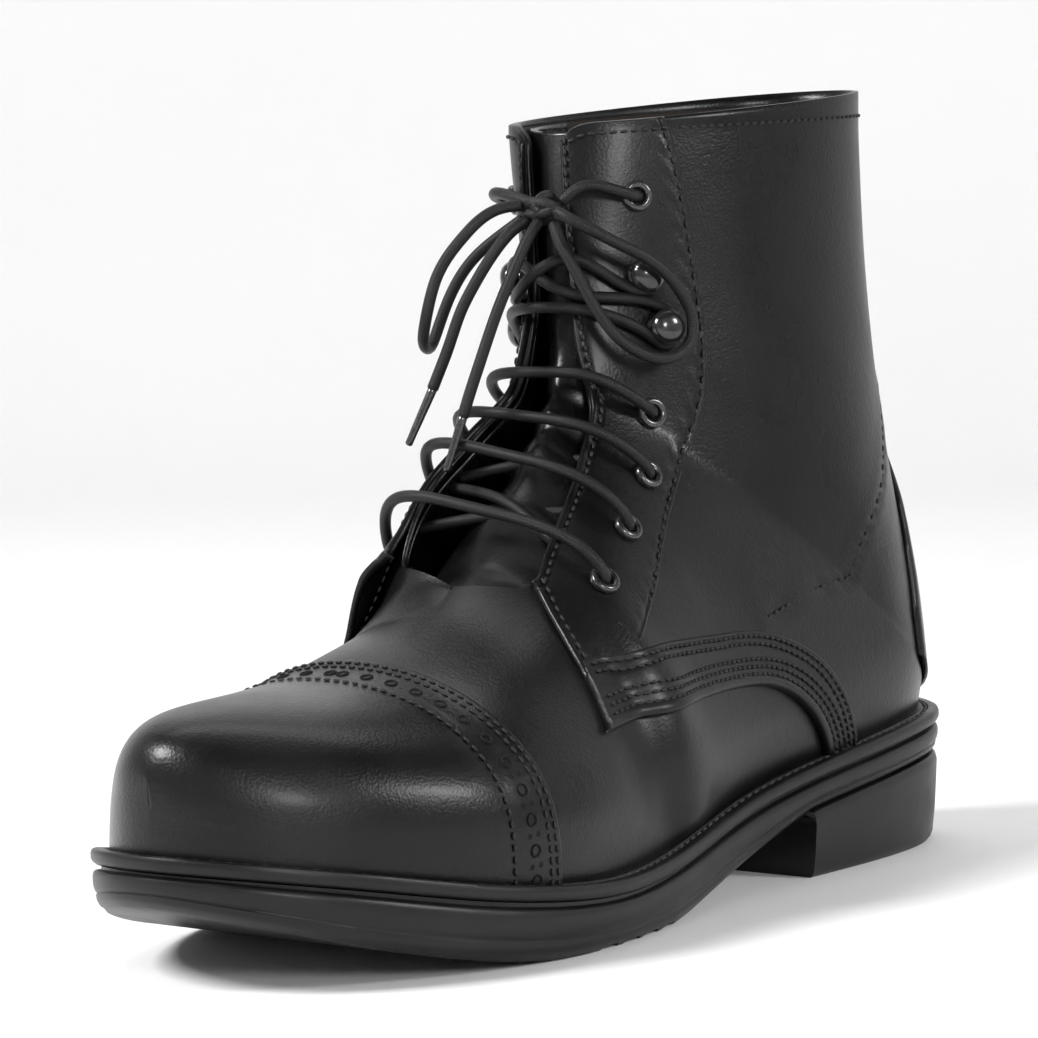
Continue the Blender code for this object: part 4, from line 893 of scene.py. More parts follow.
# Near black finish of the eyelets' hole discs and the cap's perforations: painted shade in the holes.
PAINTED_HOLE_SHADE = thread("painted_hole_shade", (0.0012, 0.0012, 0.0012), 0.8)


def collar_step(fraction, corner=0.10):
    """Last step of a column this far from the opening: the front corner is rounded off."""
    near = np.clip(1 - fraction / corner, 0, 1)
    return 1 - 0.030 * (1 - np.sqrt(np.clip(1 - near**2, 0, 1)))


def leather_grid(side, rows, fractions, lift):
    """Grid over the upper from the opening to the foot, with the collar's front corner rounded."""
    top = collar_step(fractions)
    late = np.clip((rows[:, None] - 0.85) / 0.15, 0, 1)
    step = rows[:, None] + (top[None, :] - 1.0) * late
    first = opening_share(step, side)
    share = first + (1 - first) * fractions[None, :]
    return step, share, skin(step, side, share, lift)


UPPER_ROWS = np.unique(np.concatenate([np.linspace(0, 0.12, 34), np.linspace(0.12, 1.0, 180)]))
UPPER_FRACTIONS = np.unique(
    np.concatenate([[0.0, 0.002, 0.006, 0.012], np.linspace(0.02, 1.0, 66)])
)


def counter_line(count):
    """Counter seam as evenly read steps and shares."""
    even = np.linspace(0, 1, count)
    places = np.linspace(0, 1, len(COUNTER_SEAM))
    return spline(places, column(COUNTER_SEAM, 0))(even), spline(places, column(COUNTER_SEAM, 1))(even)


def counter_relief(step, share, side):
    """The counter's edge: a groove along the counter seam, with a slight swell beside it."""
    points = section(step, side, share)
    line_step, line_share = counter_line(40)
    line = section(line_step, side, line_share)[:, [0, 2]]
    flat = points[..., [0, 2]].reshape(-1, 2)
    away = np.full(len(flat), 1.0)
    over = np.zeros(len(flat))
    for a, b in zip(line[:-1], line[1:]):
        run = b - a
        t = np.clip((flat - a) @ run / (run @ run), 0, 1)
        gap = flat - a - t[:, None] * run
        distance = np.linalg.norm(gap, axis=1)
        closer = distance < away
        away = np.where(closer, distance, away)
        sign = np.sign(run[0] * gap[:, 1] - run[1] * gap[:, 0])
        over = np.where(closer, sign, over)
    groove = -0.00045 * bell(away, 0.0, 0.0007)
    swell = 0.00035 * bell(away, 0.0022, 0.0016)
    return (groove + swell).reshape(step.shape)


def make_upper():
    """Outer leather of vamp, quarters and shaft, as one wall."""
    grids = []
    for _, side in SIDES:
        step, share, _ = leather_grid(side, UPPER_ROWS, UPPER_FRACTIONS, 0.0)
        relief = counter_relief(step, share, side)
        grids.append((side, skin(step, side, share, relief)))
    piece = sheets("upper_leather", grids, UPPER_LEATHER, LEATHER_SHEET)
    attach(piece, "root")
    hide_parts("upper")


def make_lining():
    """Brown lining of the shaft, and the black one below it that the open throat shows."""
    fractions = np.unique(np.concatenate([[0.012], np.linspace(0.03, 1.0, 34)]))
    for name, first, last, finish in (
        ("vamp_lining", 0.0, LINING_STEP, TONGUE_FINISH),
        ("shaft_lining", LINING_STEP, 0.994, LINING),
    ):
        grids = []
        for _, side in SIDES:
            _, _, grid = leather_grid(side, np.linspace(first, last, 60), fractions, -LINING_DROP)
            grids.append((side, grid))
        piece = sheets(name, grids, finish, LINING_SHEET)
        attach(piece, "root")


def make_toe_cap():
    """Toe cap with a rolled back edge."""
    rows = np.unique(np.concatenate([np.linspace(0, 0.12, 34), np.linspace(0.12, CAP_STEP, 30)]))
    rows = np.unique(np.concatenate([rows, CAP_STEP - np.array([0.0, 0.0006, 0.0014, 0.0024, 0.0036])]))
    fractions = np.linspace(0, 1, 60)
    grids = []
    for _, side in SIDES:
        step = np.repeat(rows[:, None], len(fractions), 1)
        share = np.repeat(fractions[None, :], len(rows), 0)
        along = (CAP_STEP - step) * 290 * MM
        lift = 0.0003 + rolled(along, LAYER - 0.0003, 0.0010)
        band = bell(step, CAP_FRONT_STEP, 0.0022)
        grids.append((side, skin(step, side, share, lift - 0.00035 * band)))
    piece = sheets("toe_cap_leather", grids, UPPER_LEATHER, OVERLAY_SHEET)
    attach(piece, "root")
    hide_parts("toe_cap")


def line_shares(table, side, count=60, clip_rise=0.99):
    """A side view line as steps and shares, sorted by step."""
    x, z = side_line(table, count)
    keep = z < up(clip_rise)
    step, share = on_side(x[keep], z[keep], side)
    order = np.argsort(step)
    return step[order], share[order]


def facing_layout(side):
    """Steps and shares of a grid over the facing, and its distance from each edge."""
    seam_step, seam_share = line_shares(PANEL_SEAM, side)
    strap_step, strap_share = line_shares(STRAP_TOP[:5], side)
    front_x, front_z = side_line(FACING_FRONT + ((0.612, 0.130),), 20)
    front_step, front_share = on_side(front_x, front_z, side)

    def last_share(step):
        seam = np.interp(step, seam_step, seam_share)
        strap = np.interp(step, strap_step, strap_share) + 0.03
        return np.where(step < seam_step[0] + 0.004, strap, np.minimum(seam, strap))

    across = edge_spaced(40, 0.034)
    start = opening_share(front_step, side)
    front_across = (front_share - start) / (last_share(front_step) - start)
    order = np.argsort(front_across)
    first_step = np.interp(across, front_across[order], front_step[order])
    rows = edge_spaced(120, 0.135)
    top = collar_step(across * 0.30)
    step = first_step[None, :] + (top - first_step)[None, :] * rows[:, None]
    begin = opening_share(step, side)
    end = last_share(step)
    share = begin + (end - begin) * across[None, :]
    return step, share


def grid_distances(points):
    """Distances of each place of a grid from its four edges, along its rows and columns."""
    down = np.zeros(points.shape[:2])
    over = np.zeros(points.shape[:2])
    down[1:] = np.cumsum(np.linalg.norm(np.diff(points, axis=0), axis=-1), 0)
    over[:, 1:] = np.cumsum(np.linalg.norm(np.diff(points, axis=1), axis=-1), 1)
    return down, down[-1:] - down, over, over[:, -1:] - over


def front_stand(from_front, share):
    """How far the outer facing's front edge stands off the vamp."""
    return OUTER_STAND * bell(from_front, 0.0, 0.0075) * bell(share, 0.21, 0.075)


def make_facings():
    """Facings with rolled front edges and a pinched seam at the back."""
    for label, side in SIDES:
        step, share = facing_layout(side)
        from_front, from_collar, from_opening, from_seam = grid_distances(section(step, side, share))
        lift = np.minimum.reduce([
            rolled(from_front, LAYER), rolled(from_collar, LAYER), rolled(from_opening, LAYER),
            rolled(from_seam, LAYER * 0.8, 0.0012),
        ])
        pucker = 0.00018 * np.sin(from_front / SEAM_PITCH * math.pi) * bell(from_seam, 0.003, 0.0022)
        pinch = -0.00035 * bell(from_seam, SEAM_ROW, GROOVE_WIDTH)
        if side < 0:
            lift = lift + front_stand(from_front, share)
        rim = 0.0004 * bell(from_front, EDGE_ROLL, 0.0008) + 0.0003 * bell(from_opening, EDGE_ROLL, 0.0008)
        row = -GROOVE_DEPTH * bell(from_opening, EDGE_ROW, GROOVE_WIDTH)
        row = row - GROOVE_DEPTH * bell(from_front, EDGE_ROW, GROOVE_WIDTH)
        lift = lift + (pucker + pinch + rim + row) * (lift > 0.5 * LAYER)
        grid = skin(step, side, share, lift + 0.00005)
        piece = sheets(f"facing_leather_{label}", [(side, grid)], UPPER_LEATHER, FACING_SHEET)
        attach(piece, "root")
        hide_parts(f"facing_{label}")


def strap_layout(side):
    """Steps, shares and widths of a grid over the strap, from its front end back and down."""
    top_x, top_z = side_line(STRAP_TOP, 150)
    low_x, low_z = side_line(STRAP_LOWER, 150)
    across = edge_spaced(18, 0.013)
    x = top_x[:, None] + (low_x - top_x)[:, None] * across[None, :]
    z = top_z[:, None] + (low_z - top_z)[:, None] * across[None, :]
    z = np.maximum(z, seat_height(x) + 0.0002)
    return on_side(x, z, side)


def make_straps():
    """Straps with grooved stitch rows and a thick lower edge."""
    for label, side in SIDES:
        step, share = strap_layout(side)
        points = section(step, side, share)
        from_front, _, from_top, from_low = grid_distances(points)
        lift = np.minimum.reduce([
            rolled(from_front, LAYER + 0.0004), rolled(from_top, LAYER + 0.0002),
            rolled(from_low, LAYER + 0.0007, 0.0012),
        ])
        rows = 0.0005 * bell(from_low, 0.0016, 0.0014)
        for edge, distances in ((from_top, STRAP_TOP_ROWS), (from_low, STRAP_LOWER_ROWS)):
            for distance in distances:
                rows = rows - GROOVE_DEPTH * bell(edge, distance, GROOVE_WIDTH)
        lift = lift + rows * (lift > 0.5 * LAYER) + 0.0001
        grid = skin(step, side, share, lift)
        piece = sheets(f"strap_leather_{label}", [(side, grid)], STRAP_LEATHER, OVERLAY_SHEET)
        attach(piece, "root")
        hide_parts(f"strap_{label}")


def back_share(step, side, width):
    """Share of a section at which it is this far from the back's middle."""
    shares = np.linspace(1.0, CREST_SHARE, 160)
    away = np.abs(section(step, side, shares)[:, 1] - section(step, side, 1.0)[1])
    return np.interp(width, away, shares)


def make_backstay():
    """Narrow strip up the back, wider at the heel, with rolled edges."""
    low_rows = HEEL_STEP + np.array([0.002, 0.0035, 0.005])
    rows = np.concatenate([low_rows, np.linspace(0.67, 0.999, 110)])
    across = np.array([0.0, 0.01, 0.025, 0.045, 0.07, 0.10, 0.15, 0.22, 0.32, 0.44, 0.58, 0.72, 0.86, 1.0])
    grids = []
    for _, side in SIDES:
        grid = []
        for step in rows:
            rise = (float(BACK_Z(step)) - SEAT_HEIGHT) / SHAFT_HEIGHT
            flared = np.interp(rise, (0.0, 0.08, 0.20, 0.30, 0.40, 0.50), (5.1, 4.9, 4.3, 3.5, 2.2, 1.0))
            half = 0.5 * BACKSTAY_WIDTH * flared
            share = back_share(step, side, half * (1 - across))
            lift = rolled(half * across, 0.0017, 0.0010) + 0.0001
            grid.append(skin(np.full(len(share), step), side, share, lift))
        grids.append((side, np.array(grid)))
    piece = sheets("backstay_leather", grids, UPPER_LEATHER, OVERLAY_SHEET)
    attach(piece, "root")
    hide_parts("backstay")


def make_spur_rest():
    """Small rounded ledge across the back."""
    steps = np.linspace(HEEL_STEP, 1.0, 300)
    grids = []
    for _, side in SIDES:
        grid = []
        for k in np.linspace(-1, 1, 15):
            step = float(np.interp(up(SPUR_REST_RISE) + 0.0024 * k, BACK_Z(steps), steps))
            rows = []
            for j in np.linspace(0, 1, 14):
                width = 0.008 * (1 - j)
                share = float(back_share(step, side, width))
                bulge = math.sqrt(max(0.0, 1 - abs(k) ** 3)) * math.sqrt(max(0.0, 1 - (width / 0.008) ** 4))
                rows.append(skin(step, side, share, 0.0016 + 0.0032 * bulge))
            grid.append(rows)
        grids.append((side, np.array(grid)))
    piece = sheets("spur_rest_leather", grids, UPPER_LEATHER, SPUR_REST_SHEET)
    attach(piece, "root")
    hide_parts("spur_rest")


def make_tongue():
    """Glossy tongue under the lacing, with soft cross folds."""
    rows = np.linspace(0.355, 0.993, 170)
    sunk = np.clip((rows - THROAT_STEP + 0.004) / 0.045, 0, 1)
    lift = -0.0006 - (UPPER_WALL + TONGUE_GAP - 0.0004) * sunk**2 * (3 - 2 * sunk)
    across = np.linspace(0, 1, 26)
    grids = []
    for _, side in SIDES:
        last = share_at(rows, side, 0.5 * TONGUE_WIDTH)
        share = last[:, None] * across[None, :]
        step = np.repeat(rows[:, None], len(across), 1)
        folds = 0.0005 * np.sin(rows * 95.0 + 0.8 * np.sin(rows * 31.0)) * bell(rows, 0.58, 0.11)
        grids.append((side, lifted(step, side, share, (lift + folds)[:, None])))
    piece = sheets("tongue_leather_piece", grids, TONGUE_FINISH, TONGUE_WALL - 0.0002)
    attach(piece, "root")
    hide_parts("tongue")


# Sole
SOLE_STATIONS = np.linspace(0, 1, 340)


def loops_piece(name, loops, finish, stations):
    """Closed solid of loops down the side, top first. Each loop is an inset and a height of x."""
    rings = []
    for inset, height in loops:
        ring = []
        for side, order in ((1, 1), (-1, -1)):
            x, y = outline(stations, side, inset)
            ring.append(np.stack([x, y, height(x)], -1)[::order])
        rings.append(np.concatenate([ring[0], ring[1][1:-1]]))
    count = len(rings[0])
    points = [point for ring in rings for point in ring]
    faces = []
    for level in range(len(rings) - 1):
        for i in range(count):
            a = level * count + i
            b = level * count + (i + 1) % count
            faces.append((a, a + count, b + count, b))
    size = len(stations)
    for level, flip in ((0, False), (len(rings) - 1, True)):
        base = level * count
        for i in range(size - 1):
            left = (base + i, base + i + 1)
            right = (base + (count - i) % count, base + count - i - 1)
            quad = (left[0], left[1], right[1], right[0])
            quad = tuple(dict.fromkeys(quad))
            if len(quad) > 2:
                faces.append(quad[::-1] if flip else quad)
    mesh = mesh_of(name, points, faces, 42)
    work = bmesh.new()
    work.from_mesh(mesh)
    bmesh.ops.recalc_face_normals(work, faces=work.faces)
    work.to_mesh(mesh)
    work.free()
    return new_object(name, mesh, finish)


def below_seat(drop):
    return lambda x: seat_height(x) - drop


def make_welt():
    """Welt rim with a rounded edge and a groove for its stitches."""
    loops = [
        (0.0098, below_seat(0.0)), (0.0042, below_seat(0.0)), (0.0038, below_seat(0.0005)),
        (0.0030, below_seat(0.0006)), (0.0026, below_seat(0.0)), (0.0009, below_seat(0.0)),
        (0.0003, below_seat(0.0003)), (0.0, below_seat(0.0010)), (0.0, below_seat(0.0022)),
        (0.0004, below_seat(0.0030)), (0.0011, below_seat(0.0035)), (0.0098, below_seat(0.0035)),
    ]
    piece = loops_piece("welt_rim", loops, RUBBER, SOLE_STATIONS)
    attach(piece, "root")
    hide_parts("welt")


def lug_depth(x):
    """Depth of the saw teeth at the ball."""
    first = ARCH_FROM - 0.4 * LUG_PITCH
    tooth = (x - first) / LUG_PITCH
    inside = (tooth >= 0) & (tooth < LUG_COUNT)
    return np.where(inside, LUG_DEPTH * np.clip(1 - (tooth % 1.0) / 0.72, 0, 1), 0.0)


def make_outsole():
    """Outsole with a ledge, a ribbed side band, saw-tooth lugs and a flat tread."""
    first = ARCH_FROM - 0.4 * LUG_PITCH
    teeth = [first + i * LUG_PITCH + d for i in range(LUG_COUNT + 1) for d in (-1e-5, 1e-5, 0.72 * LUG_PITCH)]
    stations = np.unique(np.concatenate([SOLE_STATIONS, turn(np.array(teeth) / L)]))
    top = WELT_THICKNESS + GAP

    def at(share, extra=0.0):
        def height(x):
            high = seat_height(x) - top
            low = tread_height(x)
            return high + (low - high) * share + extra
        return height

    def bottom(x):
        return tread_height(x) + lug_depth(x)

    loops = [
        (0.0050, at(0.0)), (0.0022, at(0.0)), (0.0022, at(0.07)), (0.0010, at(0.10)), (0.0005, at(0.15)),
        (0.0003, at(0.24)), (0.0003, at(0.40)), (0.0005, at(0.52)), (0.0008, at(0.60)), (0.0011, at(0.63)),
        (0.0011, at(0.66)), (0.0009, at(0.69)), (0.0011, at(0.80)), (0.0017, at(0.90)), (0.0024, at(0.93)),
        (0.0030, bottom), (0.0100, bottom),
    ]
    piece = loops_piece("outsole_body", loops, RUBBER, stations)
    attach(piece, "root")
    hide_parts("outsole")


def make_heel():
    """Heel block with a hollow breast."""
    last = float(turn(1.12 * HEEL_LENGTH / L))
    stations = np.linspace(0, last, 150)

    def at(share):
        def height(x):
            high = seat_height(x) - HEEL_BAND - GAP
            return high * (1 - share)
        return height

    loops = [
        (0.0060, at(0.0)), (0.0016, at(0.0)), (0.0010, at(0.03)), (0.0006, at(0.10)), (0.0012, at(0.60)),
        (0.0019, at(0.90)), (0.0024, at(0.96)), (0.0032, at(1.0)), (0.0100, at(1.0)),
    ]
    rings = []
    for inset, height in loops:
        halves = []
        for side, order in ((1, -1), (-1, 1)):
            x, y = outline(stations, side, inset)
            halves.append(np.stack([x, y, height(x)], -1)[::order])
        rings.append(np.concatenate([halves[0], halves[1][1:]]))
    half = 0.5 * HEEL_SEAT_WIDTH
    radius = (half**2 + BREAST_HOLLOW**2) / (2 * BREAST_HOLLOW)
    middle = HEEL_LENGTH - BREAST_HOLLOW + radius
    for ring in rings:
        front = middle - np.sqrt(np.clip(radius**2 - ring[:, 1] ** 2, 0, None))
        ring[:, 0] = np.minimum(ring[:, 0], front)
        ring[:, 2] = np.clip(ring[:, 2], 0, None)
    count = len(rings[0])
    points = [point for ring in rings for point in ring]
    faces = grid_faces(len(rings), count)
    for i in range(len(rings) - 1):
        faces.append((i * count, (i + 1) * count, (i + 2) * count - 1, (i + 1) * count - 1))
    for level in (0, len(rings) - 1):
        base = level * count
        for i in range(count // 2):
            a, b, c, d = base + i, base + i + 1, base + count - 2 - i, base + count - 1 - i
            quad = tuple(dict.fromkeys((a, b, c, d)))
            if len(quad) > 2 and b <= c:
                faces.append(quad)
    mesh = mesh_of("heel_block", points, faces, 35)
    work = bmesh.new()
    work.from_mesh(mesh)
    bmesh.ops.recalc_face_normals(work, faces=work.faces)
    work.to_mesh(mesh)
    work.free()
    piece = new_object("heel_block", mesh, RUBBER)
    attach(piece, "root")
    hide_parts("heel")


# Lacing hardware
def surface_frame(entry, side, lift):
    """Matrix at a lacing place, with its own Z along the leather's normal."""
    _, along, rise, _ = entry
    step, share = (float(value) for value in on_side(along * L, up(rise), side))
    small = 0.01
    low = skin(step, side, share, lift)
    by_step = skin(step + small, side, share, lift) - skin(step - small, side, share, lift)
    by_share = skin(step, side, share + small, lift) - skin(step, side, share - small, lift)
    normal = Vector(np.cross(by_share, by_step) * side).normalized()
    turned = normal.to_track_quat("Z", "Y").to_matrix().to_4x4()
    return Matrix.Translation(Vector(to_frame(low))) @ turned, step, share


def lathe(name, profile, segments, place, finish, smooth_angle=40):
    """Turned piece from a profile of radius and height, standing on the given place."""
    angles = np.linspace(0, 2 * math.pi, segments, endpoint=False)
    points = [(r * math.cos(a), r * math.sin(a), h) for r, h in profile for a in angles]
    faces = []
    for i in range(len(profile) - 1):
        for j in range(segments):
            k = (j + 1) % segments
            faces.append((i * segments + j, i * segments + k, (i + 1) * segments + k, (i + 1) * segments + j))
    mesh = bpy.data.meshes.new(name)
    mesh.from_pydata(points, [], faces)
    work = bmesh.new()
    work.from_mesh(mesh)
    bmesh.ops.remove_doubles(work, verts=work.verts, dist=0.002 * MM)
    bmesh.ops.recalc_face_normals(work, faces=work.faces)
    work.transform(place)
    work.to_mesh(mesh)
    work.free()
    mesh.shade_smooth()
    mesh.set_sharp_from_angle(angle=math.radians(smooth_angle))
    return new_object(name, mesh, finish)


def eyelet_profile():
    """Half section of an eyelet's domed ring, as radii and heights."""
    outer = 0.5 * EYELET_WIDTH
    hole = 0.5 * EYELET_HOLE
    points = [(outer, -0.0002), (outer, 0.0002)]
    middle = 0.5 * (outer + hole)
    half = 0.5 * (outer - hole)
    for angle in np.linspace(0, math.pi, 12):
        dome = 0.8 * EYELET_HEIGHT * math.sin(angle) ** 0.8
        points.append((middle + half * math.cos(angle), 0.0003 + dome))
    points += [(hole, -0.0012), (hole + 0.0003, -0.0012), (hole + 0.0003, -0.0002), (outer, -0.0002)]
    return points


# Half section of a hook, as shares of its half width and its height
HOOK_PROFILE = (
    (0.00, 1.00), (0.30, 0.985), (0.55, 0.94), (0.75, 0.86), (0.90, 0.74), (0.98, 0.62), (1.00, 0.54),
    (0.96, 0.47), (0.86, 0.42), (0.66, 0.38), (0.58, 0.32), (0.55, 0.20), (0.60, 0.10), (0.86, 0.05),
    (0.90, 0.02), (0.88, -0.02), (0.00, -0.02),
)


def make_hardware():
    """Eyelets, each with a near black disc in its hole as painted shade, and hooks."""
    for entry in LACING:
        name, _, _, kind = entry
        for label, side in SIDES:
            place, _, _ = surface_frame(entry, side, LAYER + 0.00015)
            if kind == "eyelet":
                piece = lathe(f"{name}_{label}_ring", eyelet_profile(), 48, place, EYELET_ENAMEL)
                # A near black disc and cone fill the eyelet's hole: painted shade.
                shade = [(0.0, 0.00002), (0.5 * EYELET_HOLE + 0.0002, 0.00002), (0.0, -0.0004)]
                dark = lathe(f"{name}_{label}_hole", shade, 24, place, PAINTED_HOLE_SHADE)
                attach(dark, "root")
            else:
                profile = [(0.5 * HOOK_WIDTH * r, HOOK_HEIGHT * h) for r, h in HOOK_PROFILE]
                piece = lathe(f"{name}_{label}_stud", profile, 48, place, ENAMEL)
            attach(piece, "root")
            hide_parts(f"{name}_{label}")


# Lace
KNOT_PLACE = (-12.0, -10.5, 163.0)
LOOP_OUTER = (
    (-8.1, -14.3, 163.8), (-4.6, -17.0, 163.2), (0.0, -19.5, 160.8), (4.0, -22.0, 156.5), (6.8, -24.0, 152.5),
    (9.0, -26.0, 147.5), (10.3, -27.3, 142.0), (10.3, -29.0, 136.0), (8.0, -31.3, 131.6),
    (3.5, -33.2, 130.3), (-0.2, -33.8, 134.0), (-2.3, -32.6, 140.0), (-4.0, -30.2, 146.0),
    (-6.2, -26.6, 151.6), (-8.8, -21.4, 156.4), (-11.3, -15.9, 160.6),
)
LOOP_INNER = (
    (-9.2, -4.1, 162.2), (-9.2, -1.0, 160.8), (-10.8, 2.4, 158.8), (-13.4, 5.6, 156.6), (-16.4, 8.4, 154.4),
    (-20.0, 11.2, 152.2), (-23.8, 13.5, 149.6), (-27.8, 15.2, 146.0), (-32.0, 16.0, 141.4),
    (-34.8, 16.4, 136.6), (-34.6, 16.4, 131.8), (-30.6, 16.0, 128.4), (-24.6, 14.6, 127.0),
    (-19.2, 12.2, 128.6), (-15.8, 8.8, 132.0), (-13.8, 5.2, 137.0), (-12.4, 1.8, 143.2),
    (-11.4, -1.6, 149.6), (-11.0, -4.4, 154.4), (-11.6, -6.9, 159.4),
)
END_OUTER = (
    (-8.7, -12.7, 160.2), (-6.2, -14.2, 158.4), (-3.0, -16.0, 155.0), (0.4, -18.0, 150.0),
    (3.0, -20.0, 144.8), (5.0, -22.0, 139.5), (6.5, -23.5, 134.0), (7.5, -25.0, 129.0),
    (8.5, -26.4, 124.8), (9.5, -27.6, 121.0),
)
END_INNER = (
    (-8.9, -9.3, 159.8), (-6.8, -9.7, 157.6), (-4.0, -10.4, 153.4), (-1.0, -11.5, 147.4), (2.0, -13.0, 140.4),
    (4.6, -14.6, 132.8), (6.8, -16.0, 125.8), (8.5, -17.4, 119.6), (9.8, -18.4, 114.6),
)
AGLET_OUTER = ((9.6, -27.7, 120.6), (13.5, -32.0, 108.0))
AGLET_INNER = ((9.9, -18.5, 114.2), (13.0, -21.0, 102.0))


def smooth_route(places, spacing):
    """Places read from one smooth curve through the given ones."""
    places = np.asarray(places, float)
    length = np.concatenate([[0], np.cumsum(np.linalg.norm(np.diff(places, axis=0), axis=1))])
    count = max(4, int(length[-1] / spacing) + 1)
    along = np.linspace(0, length[-1], count)
    if len(places) == 2:
        return places[0] + (places[1] - places[0]) * (along / length[-1])[:, None]
    return np.stack([spline(length, places[:, axis])(along) for axis in range(3)], -1)


def tube(name, path, width, finish, widths=None, around=14):
    """Round cord along a path of the frame, with closed round ends and a UV map."""
    path = np.asarray(path, float)
    count = len(path)
    run = unit(np.gradient(path, axis=0))
    radius = np.full(count, 0.5 * width) if widths is None else 0.5 * np.asarray(widths, float)
    side_way = np.cross(run[0], (0.0, 0.0, 1.0))
    if np.linalg.norm(side_way) < 0.1:
        side_way = np.cross(run[0], (0.0, 1.0, 0.0))
    side_way = unit(side_way)
    length = np.concatenate([[0], np.cumsum(np.linalg.norm(np.diff(path, axis=0), axis=1))])
    rings = []
    marks = []
    caps = ((-1, 0.35), (-1, 0.75)), ((1, 0.75), (1, 0.35))
    for i in range(count):
        side_way = unit(side_way - (side_way @ run[i]) * run[i])
        other = np.cross(run[i], side_way)
        ends = caps[0] if i == 0 else ()
        for _, size in ends:
            back = -run[i] * radius[i] * math.sqrt(1 - size**2) * 0.6
            rings.append((path[i] + back, radius[i] * size, side_way, other, 0.0))
        rings.append((path[i], radius[i], side_way, other, length[i]))
        if i == count - 1:
            for _, size in caps[1]:
                ahead = run[i] * radius[i] * math.sqrt(1 - size**2) * 0.6
                rings.append((path[i] + ahead, radius[i] * size, side_way, other, length[i]))
    angles = np.linspace(0, 2 * math.pi, around, endpoint=False)
    points = []
    for centre, size, first, second, _ in rings:
        for angle in angles:
            points.append(centre + size * (math.cos(angle) * first + math.sin(angle) * second))
    faces = []
    for i, ring in enumerate(rings[:-1]):
        for j in range(around):
            k = (j + 1) % around
            faces.append((i * around + j, i * around + k, (i + 1) * around + k, (i + 1) * around + j))
            low, high = ring[4], rings[i + 1][4]
            a, b = j / around, (j + 1) / around
            marks += [(a, low), (b, low), (b, high), (a, high)]
    last = (len(rings) - 1) * around
    faces.append(tuple(range(around))[::-1])
    faces.append(tuple(range(last, last + around)))
    marks += [(0.0, 0.0)] * (2 * around)
    mesh = bpy.data.meshes.new(name)
    mesh.from_pydata([tuple(point) for point in points], [], faces)
    layer = mesh.uv_layers.new(name="UVMap")
    layer.data.foreach_set("uv", np.array(marks, np.float32).ravel())
    mesh.shade_smooth()
    return new_object(name, mesh, finish)


ON_LEATHER = GAP + OVERLAY_SHEET + LACE_GAP + 0.5 * LACE_WIDTH
OVER_EYELET = ON_LEATHER + 1.5 * GAP + EYELET_HEIGHT
EYELET_DIP = 0.0012
EYELET_DEPTH = 0.0030
LACE_SPACING = 0.0007


def frame_point(step, side, share, lift):
    return to_frame(skin(float(step), side, float(share), float(lift)))


def entry_place(entry, side):
    _, along, rise, _ = entry
    step, share = on_side(along * L, up(rise), side)
    return float(step), float(share)


def arch_between(start, end, step):
    rise = normals(step, 1, 0.0) * LACE_ARCH
    return 0.5 * (start + end) + rise


def make_bars():
    """Lace across the tongue, down into the eyelets at both ends."""
    for letter in "abcd":
        entry = BY_NAME[f"eyelet_{letter}"]
        halves = []
        for side in (1, -1):
            step, share = entry_place(entry, side)
            edge = float(opening_share(step, side))
            halves.append([
                frame_point(step, side, share + 0.003, -EYELET_DEPTH),
                frame_point(step, side, share, ON_LEATHER - EYELET_DIP),
                frame_point(step, side, share - 0.030, OVER_EYELET - 0.0004),
                frame_point(step, side, edge, OVER_EYELET),
            ])
        inner, outer = halves
        step = entry_place(entry, 1)[0]
        route = inner + [arch_between(inner[-1], outer[-1], step)] + outer[::-1]
        piece = tube(f"lace_strand_{letter}", smooth_route(route, LACE_SPACING), LACE_WIDTH, LACE_FINISH)
        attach(piece, "root")
        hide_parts(f"lace_bar_{letter}")


def make_under_strands():
    """Short slanted lengths of lace that show below the bars, under the facings' edges."""
    for index, (start, end, side) in enumerate((("c", "d", 1), ("c", "d", -1), ("b", "c", 1))):
        high = entry_place(BY_NAME[f"eyelet_{start}"], side)[0] - 0.008
        low = entry_place(BY_NAME[f"eyelet_{end}"], -side)[0] + 0.006
        a = frame_point(high, side, float(opening_share(high, side)) + 0.03, -0.0022)
        b = frame_point(low, -side, float(opening_share(low, -side)) + 0.03, -0.0022)
        middle = 0.5 * (a + b) + np.array([0.0, 0.0, 0.0012 + 0.0030 * (side < 0)])
        piece = tube(f"under_strand_{index}", smooth_route([a, middle, b], 0.0008), LACE_WIDTH, LACE_FINISH)
        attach(piece, "root")


def round_hook(entry, side, from_angle, to_angle):
    """Places round a hook's neck, as angles from straight ahead towards the heel."""
    step, share = entry_place(entry, side)
    small = 0.004
    here = frame_point(step, side, share, 0.0)
    ahead = unit(frame_point(step, side, share - small, 0.0) - here)
    above = unit(frame_point(step + small, side, share, 0.0) - here)
    above = unit(above - (above @ ahead) * ahead)
    centre = frame_point(step, side, share, LAYER + 0.0016)
    radius = 0.55 * 0.5 * HOOK_WIDTH + 0.45 * LACE_WIDTH
    places = []
    for angle in np.radians(np.linspace(from_angle, to_angle, 7)):
        places.append(centre + radius * (math.cos(angle) * ahead + math.sin(angle) * above))
    return places


